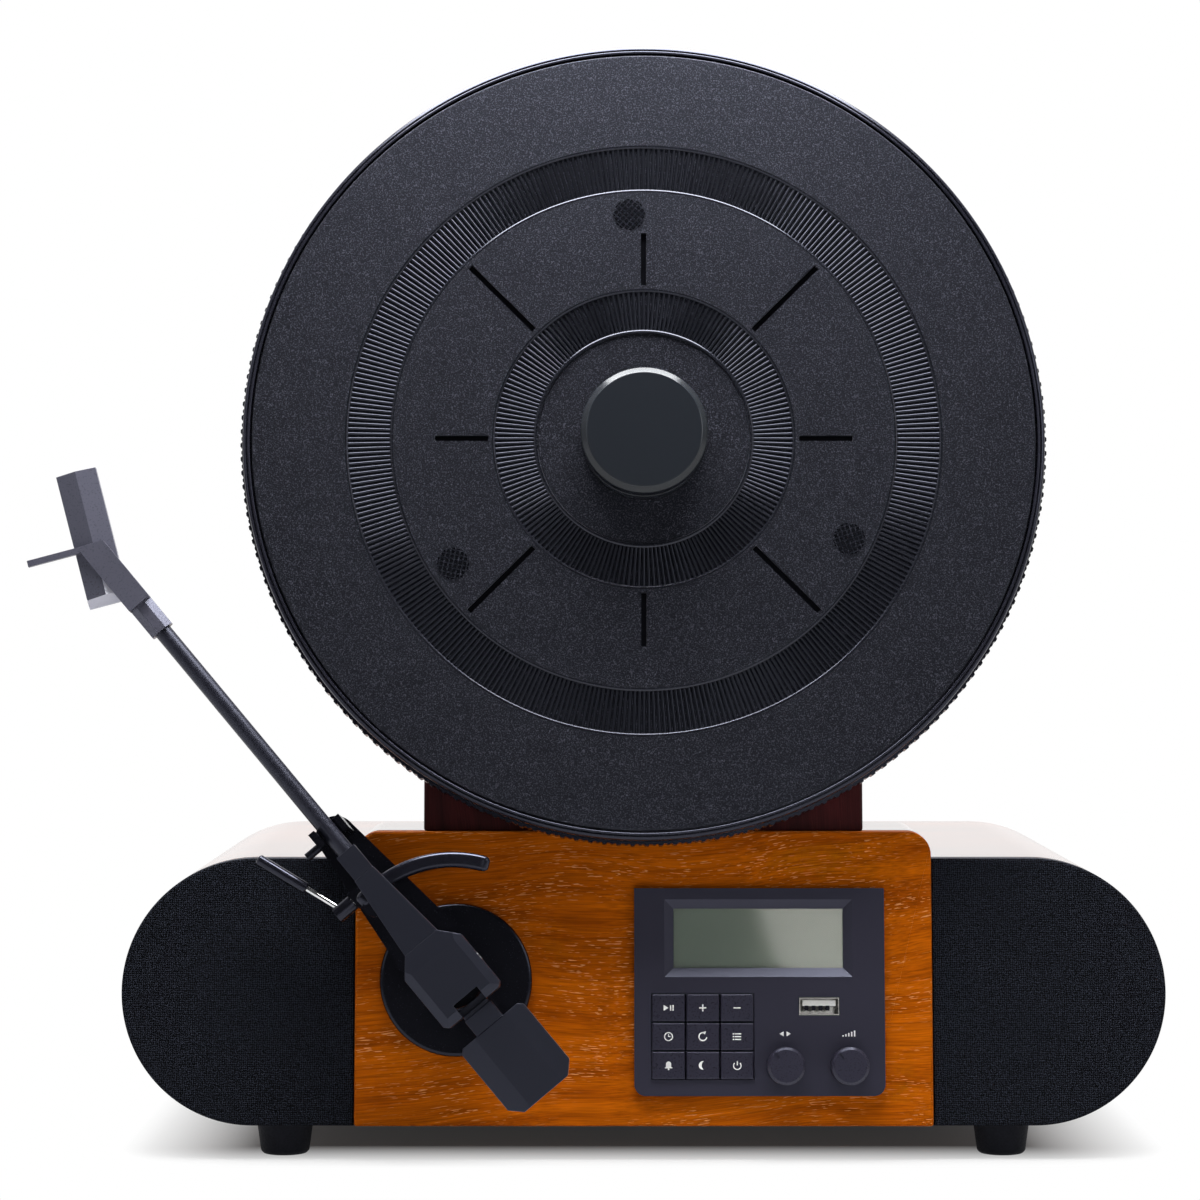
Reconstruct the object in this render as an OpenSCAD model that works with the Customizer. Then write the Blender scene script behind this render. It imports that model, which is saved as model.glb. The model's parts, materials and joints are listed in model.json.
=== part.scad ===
// Record player with an upright platter: a pill-shaped speaker base, a leaning front with tonearm and
// controls, and a wooden upright that carries the platter. Millimetres, X right, Y to the back, Z up.
// The origin is on the floor, under the middle of the base.

/* [Base cabinet] */
// Width of the pill-shaped base
base_w = 364; // [356:1:400]
// Height of the base without its feet
base_h = 92; // [88:1:104]
// Depth of the base at its bottom edge
base_d = 225; // [200:1:260]
// Wall of the bent wooden shell
shell_t = 9; // [7:0.5:11]
// Backward lean of the front, in degrees
lean = 6.5; // [4:0.5:9]
// Height of a foot
foot_h = 12; // [8:0.5:20]
// Diameter of a foot where it meets the base
foot_top_d = 20; // [18:0.5:24]
// Diameter of a foot at the floor
foot_floor_d = 17; // [12:0.5:18]
// Foot centre from the middle plane
foot_x = 126; // [100:1:126]
// Foot centre from the front and rear edges
foot_inset = 20; // [15:1:40]
// Chamfer round a foot's sole
foot_chamfer = 1; // [0.5:0.1:2]
// Thickness of the back board
back_t = 6; // [4:0.5:9]
// Set-back of the back board in the shell
back_recess = 2; // [1:0.5:6]

/* [Front panel and centre block] */
// Width of the wooden front panel
panel_w = 201; // [196:1:204]
// Rise of the panel above the top of the base
panel_rise = 9.4; // [4:0.2:14]
// Thickness of the front panel
panel_t = 9; // [6:0.5:12]
// Radius of the panel's top corners
panel_corner_r = 8; // [4:0.5:9]
// Depth of the centre block, behind the panel's face at its top edge
block_depth = 60; // [56:1:80]
// Wall of the centre block
block_t = 8; // [5:0.5:10]
// Cable hole through the block's top
cable_hole_d = 16; // [10:1:22]

/* [Grilles and speakers] */
// Set-back of the grille cloth from the panel's face
grille_recess = 1.5; // [0.5:0.1:3]
// Thickness of the grille cloth
cloth_t = 1; // [0.6:0.1:1.6]
// Thickness of the grille frame
grille_t = 7; // [5:0.5:9]
// Width of the grille frame's bars
grille_bar = 6; // [4:0.5:6.5]
// Thickness of the speaker baffle
baffle_t = 12; // [9:0.5:16]
// Room between the driver's flange and the grille frame
driver_room = 1; // [0.8:0.1:3]
// Width of the flange outside the driver's cut-out
driver_ledge = 3.5; // [3:0.1:5]
// Thickness of the driver's flange
driver_flange_t = 2.5; // [2:0.1:3]
// Depth of the driver's basket behind its flange
basket_depth = 24; // [20:1:30]
// Diameter of the driver's magnet
magnet_d = 40; // [34:1:44]
// Thickness of the driver's magnet
magnet_t = 12; // [8:0.5:16]
// Wall of the basket and of the cone
driver_wall = 1.2; // [1:0.1:1.6]
// Diameter of the cone's dust cap
dust_cap_d = 20; // [16:0.5:22]

/* [Upright] */
// Width of the wooden upright
upright_w = 154; // [140:1:170]
// Depth of the upright's case
upright_t = 43; // [40:0.5:46]
// Set-back of the upright from the panel's face
upright_setback = 4; // [3:0.2:6]
// Height of the upright above the spindle
upright_rise = 85; // [60:1:100]
// Radius of the upright's top corners
upright_corner_r = 30; // [10:1:50]
// Wall of the upright
upright_wall = 6; // [5:0.5:8]
// Thickness of the upright's rear cover
cover_t = 4; // [2.5:0.1:5]
// Width of a vent slot in the rear cover
vent_w = 3; // [2:0.1:4]
// Length of a vent slot
vent_len = 60; // [40:1:80]
// Vent slots in the cover
vent_n = 5; // [3:1:7]
// Distance from vent to vent
vent_pitch = 8; // [6:0.5:10]
// Diameter of a screw head
screw_d = 6.4; // [5:0.1:8]
// Height of a screw head
screw_h = 1.6; // [1:0.1:2.5]
// Width of the slot in a screw head
screw_slot_w = 1; // [0.6:0.1:1.4]
// Screw centre from the edge that it holds
screw_inset = 8; // [7:0.5:12]

/* [Platter and drive] */
// Rise of the spindle above the panel's top edge, along the front
spindle_rise = 135.4; // [130:0.5:150]
// Diameter of the record spindle
spindle_d = 7.2; // [7:0.05:7.25]
// Stand of the spindle above the mat
spindle_stand = 10; // [8:0.5:14]
// Overall diameter of the platter
platter_d = 282; // [278:1:288]
// Gap between the panel's face and the platter's skirt
platter_gap = 5; // [3:0.5:6]
// Height of the platter from skirt to playing face
platter_h = 19; // [18:0.5:24]
// Height of the knurled rim
rim_h = 10; // [7:0.5:11]
// Thickness of the knurled rim
rim_t = 2.2; // [1.6:0.1:3]
// Pairs of a wide and a narrow ridge round the rim
knurl_n = 180; // [90:2:180]
// Stand of a wide ridge
knurl_depth = 0.6; // [0.4:0.1:0.9]
// Radius of the platter's shoulder
shoulder_r = 3.6; // [2.5:0.1:4.5]
// Thickness of the platter's plate
plate_t = 4; // [3:0.5:5]
// Thickness of the platter's skirt
skirt_t = 4; // [3:0.5:6]
// Stiffening ribs under the platter
under_rib_n = 8; // [4:1:12]
// Depth of a stiffening rib
under_rib_h = 3; // [2:0.5:4]
// Diameter of the ring that the belt drives
belt_ring_d = 120; // [100:1:130]
// Diameter of the platter's hub
hub_d = 28; // [20:1:34]
// Diameter of the motor pulley
pulley_d = 12; // [10:0.5:14]
// Pulley centre below the spindle
motor_drop = 95; // [85:1:105]
// Diameter of the motor
motor_d = 30; // [26:1:34]
// Length of the motor
motor_len = 22; // [18:1:28]
// Diameter of the motor's shaft
motor_shaft_d = 2; // [2:0.1:3]
// Width of the drive belt
belt_w = 4; // [3:0.1:5]
// Thickness of the drive belt
belt_t = 0.8; // [0.6:0.1:1.2]
// Height of a pulley flange
pulley_flange_h = 1; // [0.8:0.1:1.4]
// Diameter of the spindle bearing
bearing_d = 16; // [14:0.5:20]
// Diameter of the bearing's flange
bearing_flange_d = 26; // [22:0.5:30]
// Thickness of the bearing's flange
bearing_flange_t = 2; // [1.5:0.1:3]
// Length of the bearing behind the upright's face
bearing_len = 20; // [14:0.5:26]

/* [Mat] */
// Thickness of the mat
mat_t = 3; // [2.5:0.1:3.6]
// Groove between the mat and the platter's rim
mat_groove = 0.6; // [0.4:0.1:1]
// Inner diameter of the outer ribbed ring
outer_rib_in_d = 176.6; // [174:0.2:180]
// Outer diameter of the outer ribbed ring
outer_rib_out_d = 205.4; // [200:0.2:212]
// Ribs in the outer ring
outer_rib_n = 360; // [180:4:360]
// Inner diameter of the inner ribbed ring
inner_rib_in_d = 76.8; // [76:0.2:80]
// Outer diameter of the inner ribbed ring
inner_rib_out_d = 103.2; // [98:0.2:105]
// Ribs in the inner ring
inner_rib_n = 180; // [90:2:180]
// Depth of the ribbed rings
rib_depth = 1.2; // [0.8:0.1:1.5]
// Drop of the rib tops below the mat's face
rib_drop = 0.3; // [0.2:0.1:0.5]
// Root of a rib in the plain rings beside it
rib_root = 0.3; // [0.2:0.1:0.6]
// Diameter of the sunk centre
centre_d = 74; // [70:0.5:75]
// Depth of the sunk centre
centre_depth = 0.8; // [0.5:0.1:1.2]
// Width of a radial slot
slot_w = 1.9; // [1.4:0.1:2.6]
// Depth of a radial slot
slot_depth = 1.8; // [1:0.1:2.2]
// Radius at which the slots start
slot_start_r = 54; // [53:0.5:58]
// Radius at which a short slot ends
short_slot_end_r = 72.6; // [66:0.2:78]
// Radius at which a long slot ends
long_slot_end_r = 85.5; // [80:0.5:86]
// Diameter of a grip pad
pad_d = 11; // [9:0.5:12]
// Radius of the pads' circle
pad_circle_r = 79.3; // [76:0.1:80]
// Turn of the first pad from the upright, in degrees
pad_turn = 3.6; // [0:0.2:8]
// Stand of a pad above the mat
pad_stand = 0.3; // [0.2:0.05:0.5]
// Pitch of the pads' cross-hatching
pad_pitch = 1.6; // [1.2:0.1:2.2]
// Width and depth of a hatching groove
pad_groove = 0.5; // [0.3:0.05:0.6]

/* [Record clamp] */
// Diameter of the record clamp
clamp_d = 43.6; // [38:0.2:48]
// Height of the clamp above the mat's sunk centre
clamp_h = 20.6; // [16:0.2:24]
// Chamfer round the clamp's face
clamp_chamfer = 2; // [1:0.1:3]
// Finger groove round the clamp's side
clamp_groove = 1.2; // [0.8:0.1:2]
// Drilling left free above the spindle's tip
clamp_tip_room = 2; // [1:0.5:4]

/* [Tonearm] */
// Arm pivot inside the panel's left edge
pivot_inset = 35.2; // [33:0.1:37]
// Arm pivot above the panel's bottom edge
pivot_v = 50.5; // [47:0.5:54]
// Direction of the parked arm, in degrees from the right
arm_angle = 130; // [128:0.5:132]
// Height of the arm's axis above the panel
arm_h = 39; // [38:0.5:42]
// Diameter of the arm's base disc
arm_disc_d = 53; // [48:0.5:58]
// Thickness of the arm's base disc
arm_disc_t = 3; // [2:0.2:4]
// Diameter of the arm's pillar
pillar_d = 20; // [18:0.5:21]
// Diameter of the upright pivot pin
swing_pin_d = 6; // [5:0.2:7]
// Diameter of the lift pivot pins
lift_pin_d = 3; // [2:0.1:3.4]
// Half width of the pivot housing
housing_half_w = 12.2; // [12:0.1:13]
// Front of the pivot housing, from the pivot
housing_front = 15.7; // [15:0.1:18]
// Rear of the pivot housing, from the pivot
housing_rear = 12.5; // [12.3:0.1:14]
// Height of the housing above the arm's axis
housing_over = 8; // [7.5:0.1:9]
// Reach of the housing below the arm's axis
housing_under = 7; // [5:0.1:7.5]
// Wall of the pivot housing
housing_wall = 2.4; // [2:0.1:2.6]
// Radius of the sleeve at the housing
sleeve_big_r = 6.9; // [6.6:0.1:7]
// Radius of the sleeve at its thin end
sleeve_small_r = 4; // [3.8:0.1:4.4]
// Thin end of the sleeve, from the pivot
sleeve_end = 46; // [44:0.5:48]
// End of the collar that grips the tube, from the pivot
grip_end = 56; // [54:0.5:58]
// Diameter of the arm tube
tube_d = 6; // [5.4:0.1:6.2]
// Seat of the tube in the collars
tube_seat = 6; // [4:0.5:7]
// Start of the headshell's collar, from the pivot
head_collar_start = 154; // [150:0.5:158]
// Length of the headshell's collar
head_collar_len = 12.5; // [10:0.5:14]
// Width across the headshell's collar
head_collar_w = 8.3; // [8:0.1:9]
// Width of the headshell's neck
neck_w = 8.6; // [8:0.1:9.2]
// Height of the neck and finger lift above the shell's ridge
neck_rise = 0.8; // [0.4:0.1:1.2]
// Middle of the headshell, from the pivot along the arm
head_s = 193.6; // [191:0.2:196]
// Middle of the headshell, to the right of the arm
head_t = 1.9; // [0:0.1:4]
// Turn of the headshell to the right of the arm, in degrees
head_turn = 25; // [22:0.5:28]
// Length of the headshell
head_len = 46.8; // [44:0.2:48]
// Width of the headshell
head_w = 13.8; // [13:0.1:15]
// Height of the headshell's ridge above the arm's axis
head_over = 6; // [5:0.1:8]
// Thickness of the headshell at its edges
head_edge_t = 3; // [2.4:0.1:4]
// Slope at the shell's rear end, along the shell
head_slope = 2.8; // [2:0.1:4]
// Reach of the finger lift from the shell's middle line
finger_len = 23.2; // [20:0.1:26]
// Front edge of the finger lift, behind the shell's middle
finger_x = 2.1; // [1:0.1:4]
// Width of the finger lift
finger_w = 2.4; // [1.8:0.1:3]
// Length of the cartridge
cartridge_len = 26; // [22:0.5:30]
// Width of the cartridge
cartridge_w = 11; // [9:0.2:13]
// Reach of the stylus tip above the mat
stylus_room = 2.2; // [1.5:0.1:3]
// Stylus from the headshell's middle, along the headshell
stylus_x = 15.5; // [13:0.5:17]
// Start of the counterweight's paddle, behind the pivot
paddle_start = 20.5; // [18:0.5:23]
// End of the counterweight's paddle, behind the pivot
paddle_end = 50; // [46:0.5:54]
// Half width of the counterweight's paddle
paddle_half_w = 13.4; // [11:0.1:14]
// Thickness of the counterweight's paddle
paddle_t = 11; // [8:0.5:13]
// Chamfer of the paddle's rear corners
paddle_chamfer = 4; // [2:0.5:6]
// Half width of the counterweight's neck
paddle_neck_half_w = 5.1; // [4:0.1:6]

/* [Arm rest and cueing] */
// Arm rest, from the pivot along the arm
rest_s = 65; // [62:0.5:70]
// Radius of the bracket's round end
bracket_end_r = 7; // [6.5:0.1:9]
// Half width of the bracket at the base disc
bracket_half_w = 12.5; // [11:0.1:14]
// Thickness of the bracket
bracket_t = 3.5; // [2.5:0.1:5]
// Thickness of a prong of the arm rest
prong_t = 2.4; // [2:0.1:3]
// Width of the arm rest along the arm
rest_len = 6; // [4:0.2:8]
// Room between the arm tube and a prong
rest_room = 0.7; // [0.5:0.05:1]
// Diameter of the peg beside the arm rest
peg_d = 3; // [2:0.1:4]
// Reach of the peg from the arm's axis
peg_reach = 12.3; // [10:0.1:14]
// Cue shaft, from the pivot along the arm
cue_s = 43; // [42.6:0.1:45]
// Height of the cue shaft above the bracket
cue_shaft_h = 7; // [5:0.2:9]
// Diameter of the cue shaft in its bearing
cue_journal_d = 3; // [2.4:0.1:3.6]
// Diameter of the cue shaft's barrel
cue_barrel_d = 5.5; // [4.5:0.1:6.5]
// Inner end of the cue shaft, left of the arm's axis
cue_inner = 3; // [2:0.1:4]
// Outer face of the shaft's bearing, left of the arm's axis
cue_bearing_out = 9.6; // [9:0.1:10.5]
// Outer end of the barrel, left of the arm's axis
cue_barrel_out = 17.2; // [15:0.1:19]
// Turn of the cue lever from the arm, in degrees
cue_turn = 19; // [10:0.5:25]
// Length of the cue lever from its shaft
cue_len = 34.5; // [28:0.5:40]
// Diameter of the cue lever's rod
cue_rod_d = 2; // [1.6:0.1:2.6]
// Length of the cue lever's grip
cue_grip_len = 20; // [14:0.5:24]
// Diameter of the cue lever's grip
cue_grip_d = 4; // [3.4:0.1:5]
// Radius of the lift bar's arc, to its middle
bar_r = 40.5; // [39:0.1:42]
// Width of the lift bar
bar_w = 5.5; // [4:0.1:6]
// Thickness of the lift bar
bar_t = 3.2; // [2.4:0.1:4]
// Direction of the lift bar's far end, in degrees from the right
bar_end_angle = 75.6; // [72:0.2:80]
// Gap between the lift bar and the arm
bar_gap = 1.15; // [1.1:0.05:1.4]
// Lift plunger, from the pivot along the arm
plunger_s = 36.4; // [36:0.1:37]
// Lift plunger, left of the arm's axis
plunger_t = 5.1; // [4.8:0.1:5.6]
// Diameter of the lift plunger
plunger_d = 4; // [3.4:0.1:4.4]
// Wall of the plunger's guide
plunger_wall = 1.3; // [1:0.1:1.4]
// Travel left under the plunger
plunger_room = 1.5; // [1:0.1:2]

/* [Controls] */
// Left edge of the control bezel, from the middle plane
bezel_u = -3.3; // [-6:0.1:0]
// Bottom edge of the control bezel, above the panel's edge
bezel_v = 10.5; // [8:0.5:13]
// Width of the control bezel
bezel_w = 87; // [86:0.5:92]
// Height of the control bezel
bezel_h = 71.8; // [71:0.2:76]
// Stand of the bezel above the panel
bezel_stand = 2.5; // [2:0.1:3.5]
// Radius of the bezel's bottom corners
bezel_corner_r = 4; // [2:0.1:5]
// Width of the bezel's flange round its body
bezel_flange = 4; // [3:0.1:4.2]
// Wall of the bezel's body
bezel_wall = 1.5; // [1.2:0.1:1.6]
// Depth of the bezel's body behind the panel's face
bezel_depth = 14; // [13:0.5:18]
// Left edge of the display's glass, from the bezel's left edge
glass_u = 13.7; // [13:0.1:15]
// Bottom edge of the display's glass, above the bezel's bottom edge
glass_v = 44.2; // [43:0.1:45]
// Width of the display's glass
glass_w = 59; // [56:0.5:60]
// Height of the display's glass
glass_h = 20.5; // [19:0.1:21]
// Width of the bevel round the display
glass_bevel = 3.2; // [2.4:0.1:3.6]
// Depth of the bevel round the display
glass_sink = 2; // [1.4:0.1:2.4]
// Thickness of the display's glass
glass_t = 1.2; // [1:0.1:1.5]
// Left edge of the keypad, from the bezel's left edge
keys_u = 5.9; // [5.7:0.1:7]
// Bottom edge of the keypad, above the bezel's bottom edge
keys_v = 5.6; // [5.5:0.1:6.5]
// Distance from key to key across
key_pitch_u = 11.9; // [11.4:0.1:12.1]
// Distance from key to key upwards
key_pitch_v = 9.9; // [9.4:0.1:10.1]
// Gap round a key
key_gap = 0.4; // [0.3:0.05:0.6]
// Stand of a key above the bezel
key_stand = 0.9; // [0.6:0.1:1.4]
// Travel of a key
key_travel = 0.8; // [0.5:0.1:1]
// Chamfer round a key's top
key_chamfer = 0.4; // [0.3:0.05:0.5]
// Middle of the port, from the bezel's left edge
port_u = 64.2; // [62:0.1:66]
// Middle of the port, above the bezel's bottom edge
port_v = 30.9; // [30:0.1:32]
// Width of the port's shell
port_w = 13.9; // [13.5:0.1:14.5]
// Height of the port's shell
port_h = 6.1; // [5.8:0.1:6.6]
// Wall of the port's shell
port_wall = 0.4; // [0.3:0.05:0.5]
// Thickness of the port's tongue
port_tongue = 1.9; // [1.6:0.1:2]
// Tune knob's middle, from the bezel's left edge
tune_u = 52.3; // [51.5:0.1:53]
// Volume knob's middle, from the bezel's left edge
volume_u = 74.4; // [73:0.1:75]
// Middle of the knobs, above the bezel's bottom edge
knob_v = 10.4; // [10:0.1:12]
// Diameter of a knob
knob_d = 13; // [11:0.1:14]
// Height of a knob above its gap
knob_h = 9; // [7:0.2:12]
// Chamfer round a knob's face
knob_chamfer = 0.9; // [0.5:0.1:1.5]
// Gap between a knob and the bezel
knob_gap = 0.4; // [0.3:0.05:0.8]
// Diameter of a knob's stem
knob_stem_d = 6; // [5:0.1:6.2]
// Width of a knob's index groove
knob_mark_w = 1; // [0.6:0.1:1.4]
// Length of a knob's index groove
knob_mark_len = 3; // [2:0.1:4]
// Depth of a knob's index groove
knob_mark_depth = 0.5; // [0.3:0.1:0.8]
// Direction of the index groove, in degrees from the right
knob_mark_angle = 133; // [90:1:180]
// Thickness of a circuit board
board_t = 1.6; // [1.2:0.1:2]

/* [Rear panel] */
// Middle of the power inlet, from the middle plane
inlet_x = -60; // [-80:1:-40]
// Middle of the line-out jacks, from the middle plane
jacks_x = 50; // [30:1:70]
// Height of the inlet and jacks above the base's bottom
jacks_z = 46; // [42:1:50]
// Diameter of the power inlet's collar
inlet_d = 11; // [9:0.2:13]
// Bore of the power inlet
inlet_bore_d = 6.2; // [5.5:0.1:6.8]
// Pin of the power inlet
inlet_pin_d = 2; // [1.6:0.1:2.5]
// Depth of the power inlet's bore
inlet_bore_len = 9; // [7:0.5:11]
// Distance between the line-out jacks
jack_pitch = 14; // [12:0.5:18]
// Diameter of a line-out jack
jack_d = 8.3; // [8:0.1:8.6]
// Socket hole in a line-out jack
jack_hole_d = 3.4; // [3.2:0.1:3.6]
// Reach of a jack behind its plate
jack_len = 9; // [7:0.5:11]
// Border of the jacks' plate round the jacks
jack_border = 5; // [3.5:0.5:7]
// Thickness of the jacks' plate
jack_plate_t = 1.5; // [1:0.1:2.5]
// Width of the main circuit board
main_board_w = 130; // [110:1:150]
// Depth of the main circuit board
main_board_d = 60; // [50:1:70]
// Height of the main board's stand-offs
standoff_h = 6; // [4:0.5:10]
// Diameter of a stand-off
standoff_d = 7; // [6:0.5:9]

/* [Fits] */
// Radial clearance of a turning or sliding shaft
run_fit = 0.05; // [0.03:0.01:0.08]
// Clearance of a piece set into an opening
set_fit = 0.2; // [0.1:0.05:0.3]
// Clearance round the belt
belt_fit = 0.3; // [0.2:0.05:0.4]

/* [Frame] */
// Middle of the outline seen from above, to the right of the base's middle
outline_mid_x = -15; // [-20:0.1:-10]
// Middle of the outline seen from above, behind the base's middle
outline_mid_y = -17.3; // [-24:0.1:-12]

/* [Hidden] */
$fn = 96;
cut = 1;
reach = 2 * (base_w + base_d);
pivot_u = pivot_inset - panel_w / 2;
front_y = -base_d / 2;
rear_y = base_d / 2;
panel_top_z = foot_h + base_h + panel_rise;
panel_len = (base_h + panel_rise) / cos(lean);
block_rear_y = front_y + panel_len * sin(lean) + block_depth;
cloth_face = -grille_recess;
grille_face = cloth_face - cloth_t;
baffle_face = grille_face - grille_t;
baffle_back = baffle_face - baffle_t;
driver_u = (panel_w / 2 + base_w / 2 - shell_t) / 2;
driver_v = base_h / 2 / cos(lean);
driver_d = 2 * (driver_u - panel_w / 2 - set_fit - grille_bar - driver_room);
driver_hole_d = driver_d - 2 * driver_ledge;
cone_r = driver_hole_d / 2 - 2 * driver_wall;
dust_cap_r = dust_cap_d / 2;

spindle_v = panel_len + spindle_rise;
upright_face = -upright_setback;
upright_back = upright_face - upright_t;
cover_back = upright_back - cover_t;
upright_top = spindle_v + upright_rise;
platter_r = platter_d / 2;
platter_face = platter_gap + platter_h;
mat_seat = platter_face - mat_t;
plate_low = mat_seat - plate_t;
skirt_r = platter_r - rim_t;
lip_r = platter_r - knurl_depth;
mat_r = lip_r - shoulder_r - mat_groove;
belt_ring_r = belt_ring_d / 2;
belt_low = platter_gap + pulley_flange_h + belt_fit;
pulley_low = belt_low - belt_fit - pulley_flange_h;
pulley_h = belt_w + 2 * belt_fit + 2 * pulley_flange_h;
pulley_flange_r = pulley_d / 2 + belt_fit + 2 * belt_t;
hub_low = bearing_flange_t;
spindle_r = spindle_d / 2;
spindle_tip = platter_face + spindle_stand;
spindle_tail = 2;
slot_n = 8;
pad_n = 3;
rim_sides = 360;
belt_bite = 0.02;
bearing_back = upright_face - bearing_len;
centre_face = platter_face - centre_depth;
clamp_low = centre_face + set_fit;

turret_h = 4.6;
turret_room = 2;
pin_room = 2;
yoke_side_room = 2.3;
yoke_top_room = 2.6;
pillar_top = arm_h - housing_under - turret_h - turret_room;
swing_pin_top = arm_h - lift_pin_d / 2 - pin_room;
yoke_half_w = housing_half_w - housing_wall - yoke_side_room;
yoke_half_len = 6.5;
housing_nose = 6.3;
paddle_gap = 1.5;
yoke_top = arm_h + housing_over - housing_wall - yoke_top_room;
tube_r = tube_d / 2;
bracket_top = arm_disc_t + bracket_t;
sleeve_slope = (sleeve_big_r - sleeve_small_r) / (sleeve_end - housing_front);
bar_in_r = bar_r - bar_w / 2;
bar_out_r = bar_r + bar_w / 2;
bar_top = arm_h - (sleeve_big_r - sleeve_slope * (bar_in_r - housing_front)) - bar_gap;
bar_low = bar_top - bar_t;
plunger_angle = arm_angle + atan2(plunger_t, plunger_s);
plunger_low = bracket_top + plunger_room;
guide_room = 5;
guide_top = bar_low - guide_room;
guide_r = plunger_d / 2 + plunger_wall;
cue_h = bracket_top + cue_shaft_h;
cue_rod_root = (cue_bearing_out + cue_barrel_out + cue_rod_d) / 2;
saddle_room = 2.5;
saddle_h = arm_h - tube_r - saddle_room;
prong_in = tube_r + rest_room;
prong_out = prong_in + prong_t;
collar_sides = 8;
head_crown = 2;
finger_t = 2;
head_low = arm_h + head_over - head_edge_t - head_crown;
stylus_tip = platter_face + stylus_room;
stylus_reach = 5;
cartridge_low = stylus_tip + stylus_reach;
cartridge_nose = 6;

body_u = bezel_u + bezel_flange;
body_v = bezel_v + bezel_flange;
body_w = bezel_w - 2 * bezel_flange;
body_h = bezel_h - 2 * bezel_flange;
bezel_floor = bezel_stand - glass_sink - glass_t;
board_room = 2;
board_top = -bezel_depth + board_t + board_room;
key_cols = 3;
key_rows = 3;
key_skirt = 1.6;
key_low = bezel_floor - key_skirt;
switch_room = 0.4;
switch_top = key_low - key_travel - switch_room;
port_sink = 0.3;
cell_mid = 0.5;
port_face = bezel_stand - port_sink;
knob_low = bezel_stand + knob_gap;
back_face = rear_y - back_recess;

KEY_NAMES = ["top_left", "top_middle", "top_right", "middle_left", "middle_middle", "middle_right",
             "bottom_left", "bottom_middle", "bottom_right"];

// Frames: the leaning front, the spindle, the arm and the headshell

module on_front() {
  translate([0, front_y, foot_h]) rotate([90 - lean, 0, 0]) children();
}

module on_spindle() {
  on_front() translate([0, spindle_v, 0]) children();
}

module on_arm() {
  on_front() translate([pivot_u, pivot_v, 0]) rotate([0, 0, arm_angle]) children();
}

module on_head() {
  on_arm() translate([head_s, -head_t, 0]) rotate([0, 0, -head_turn]) children();
}

// Lays a cylinder's axis along the arm, or across it to the left
module along_arm() {
  rotate([0, 90, 0]) children();
}

module across_arm() {
  rotate([-90, 0, 0]) children();
}

// Shared shapes

module stadium(w, h) {
  square([w - h, h], center = true);
  for (side = [-1, 1]) translate([side * (w - h) / 2, 0]) circle(d = h);
}

module ring(r_out, r_in) {
  difference() {
    circle(r = r_out);
    circle(r = r_in);
  }
}

// The base's pill, drawn in by an inset, from depth y0 to depth y1
module base_prism(inset, y0, y1) {
  translate([0, y1, foot_h + base_h / 2]) rotate([90, 0, 0])
    linear_extrude(y1 - y0) stadium(base_w - 2 * inset, base_h - 2 * inset);
}

// All that lies between two heights above the front's face
module front_slab(low, high) {
  on_front() translate([-reach / 2, -reach / 2, low]) cube([reach, reach, high - low]);
}

// All that lies beyond a distance to one side of the middle plane
module side_zone(side, inner) {
  mirror([side < 0 ? 1 : 0, 0, 0]) translate([inner, -reach / 2, -reach / 2]) cube(reach);
}

// Rectangle from the left bottom corner, with round top corners
module round_top(w, h, r) {
  translate([-w / 2, 0]) square([w, h - r]);
  translate([r - w / 2, 0]) square([w - 2 * r, h]);
  for (side = [-1, 1]) translate([side * (w / 2 - r), h - r]) circle(r = r);
}

// Teeth that stand between two radii, one half of each pitch wide
module teeth(n, r_root, r_tip) {
  pitch = 360 / n;
  polygon([for (i = [0 : n - 1], k = [0 : 3])
    let (a = (i + (k < 2 ? 0 : 0.5)) * pitch, r = k < 1 || k > 2 ? r_root : r_tip) [r * cos(a), r * sin(a)]]);
}

// Frustum that narrows evenly from a top rectangle to a bottom one
module bevelled_well(w, h, bevel, depth) {
  intersection() {
    translate([-bevel, h + bevel, 0]) rotate([90, 0, 0]) linear_extrude(h + 2 * bevel)
      polygon([[bevel, 0], [bevel + w, 0], [w + 2 * bevel, depth], [0, depth]]);
    translate([-bevel, -bevel, 0]) rotate([90, 0, 90]) linear_extrude(w + 2 * bevel)
      polygon([[bevel, 0], [bevel + h, 0], [h + 2 * bevel, depth], [0, depth]]);
  }
}

module slotted_screw() {
  difference() {
    rotate_extrude() polygon([[0, 0], [screw_d / 2, 0], [screw_d / 2, screw_h / 2],
                              [screw_d / 2 - screw_h / 2, screw_h], [0, screw_h]]);
    translate([-screw_d, -screw_slot_w / 2, screw_h / 2]) cube([2 * screw_d, screw_slot_w, screw_h]);
  }
}

// Base cabinet

module cabinet_shell() {
  color("#8a4a22") difference() {
    base_prism(0, front_y, rear_y);
    base_prism(shell_t, front_y - shell_t, rear_y + shell_t);
    front_slab(baffle_face, reach);
    translate([-panel_w / 2 - set_fit, front_y, foot_h + base_h / 2])
      cube([panel_w + 2 * set_fit, block_rear_y + set_fit - front_y, base_h]);
  }
}

// Outline of the panel and block, from a height above the base's bottom to the panel's top
module panel_prism(z_low, y1) {
  translate([0, y1, foot_h + z_low]) rotate([90, 0, 0]) linear_extrude(y1 - front_y)
    round_top(panel_w, base_h + panel_rise - z_low, panel_corner_r);
}

module centre_block() {
  color("#7a3c1c") difference() {
    panel_prism(shell_t, block_rear_y);
    front_slab(-panel_t, reach);
    translate([block_t - panel_w / 2, front_y - block_t, foot_h])
      cube([panel_w - 2 * block_t, block_rear_y - front_y, base_h + panel_rise - block_t]);
    translate([0, block_rear_y - block_depth / 2, panel_top_z - 2 * block_t])
      cylinder(d = cable_hole_d, h = 3 * block_t);
  }
}

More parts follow.
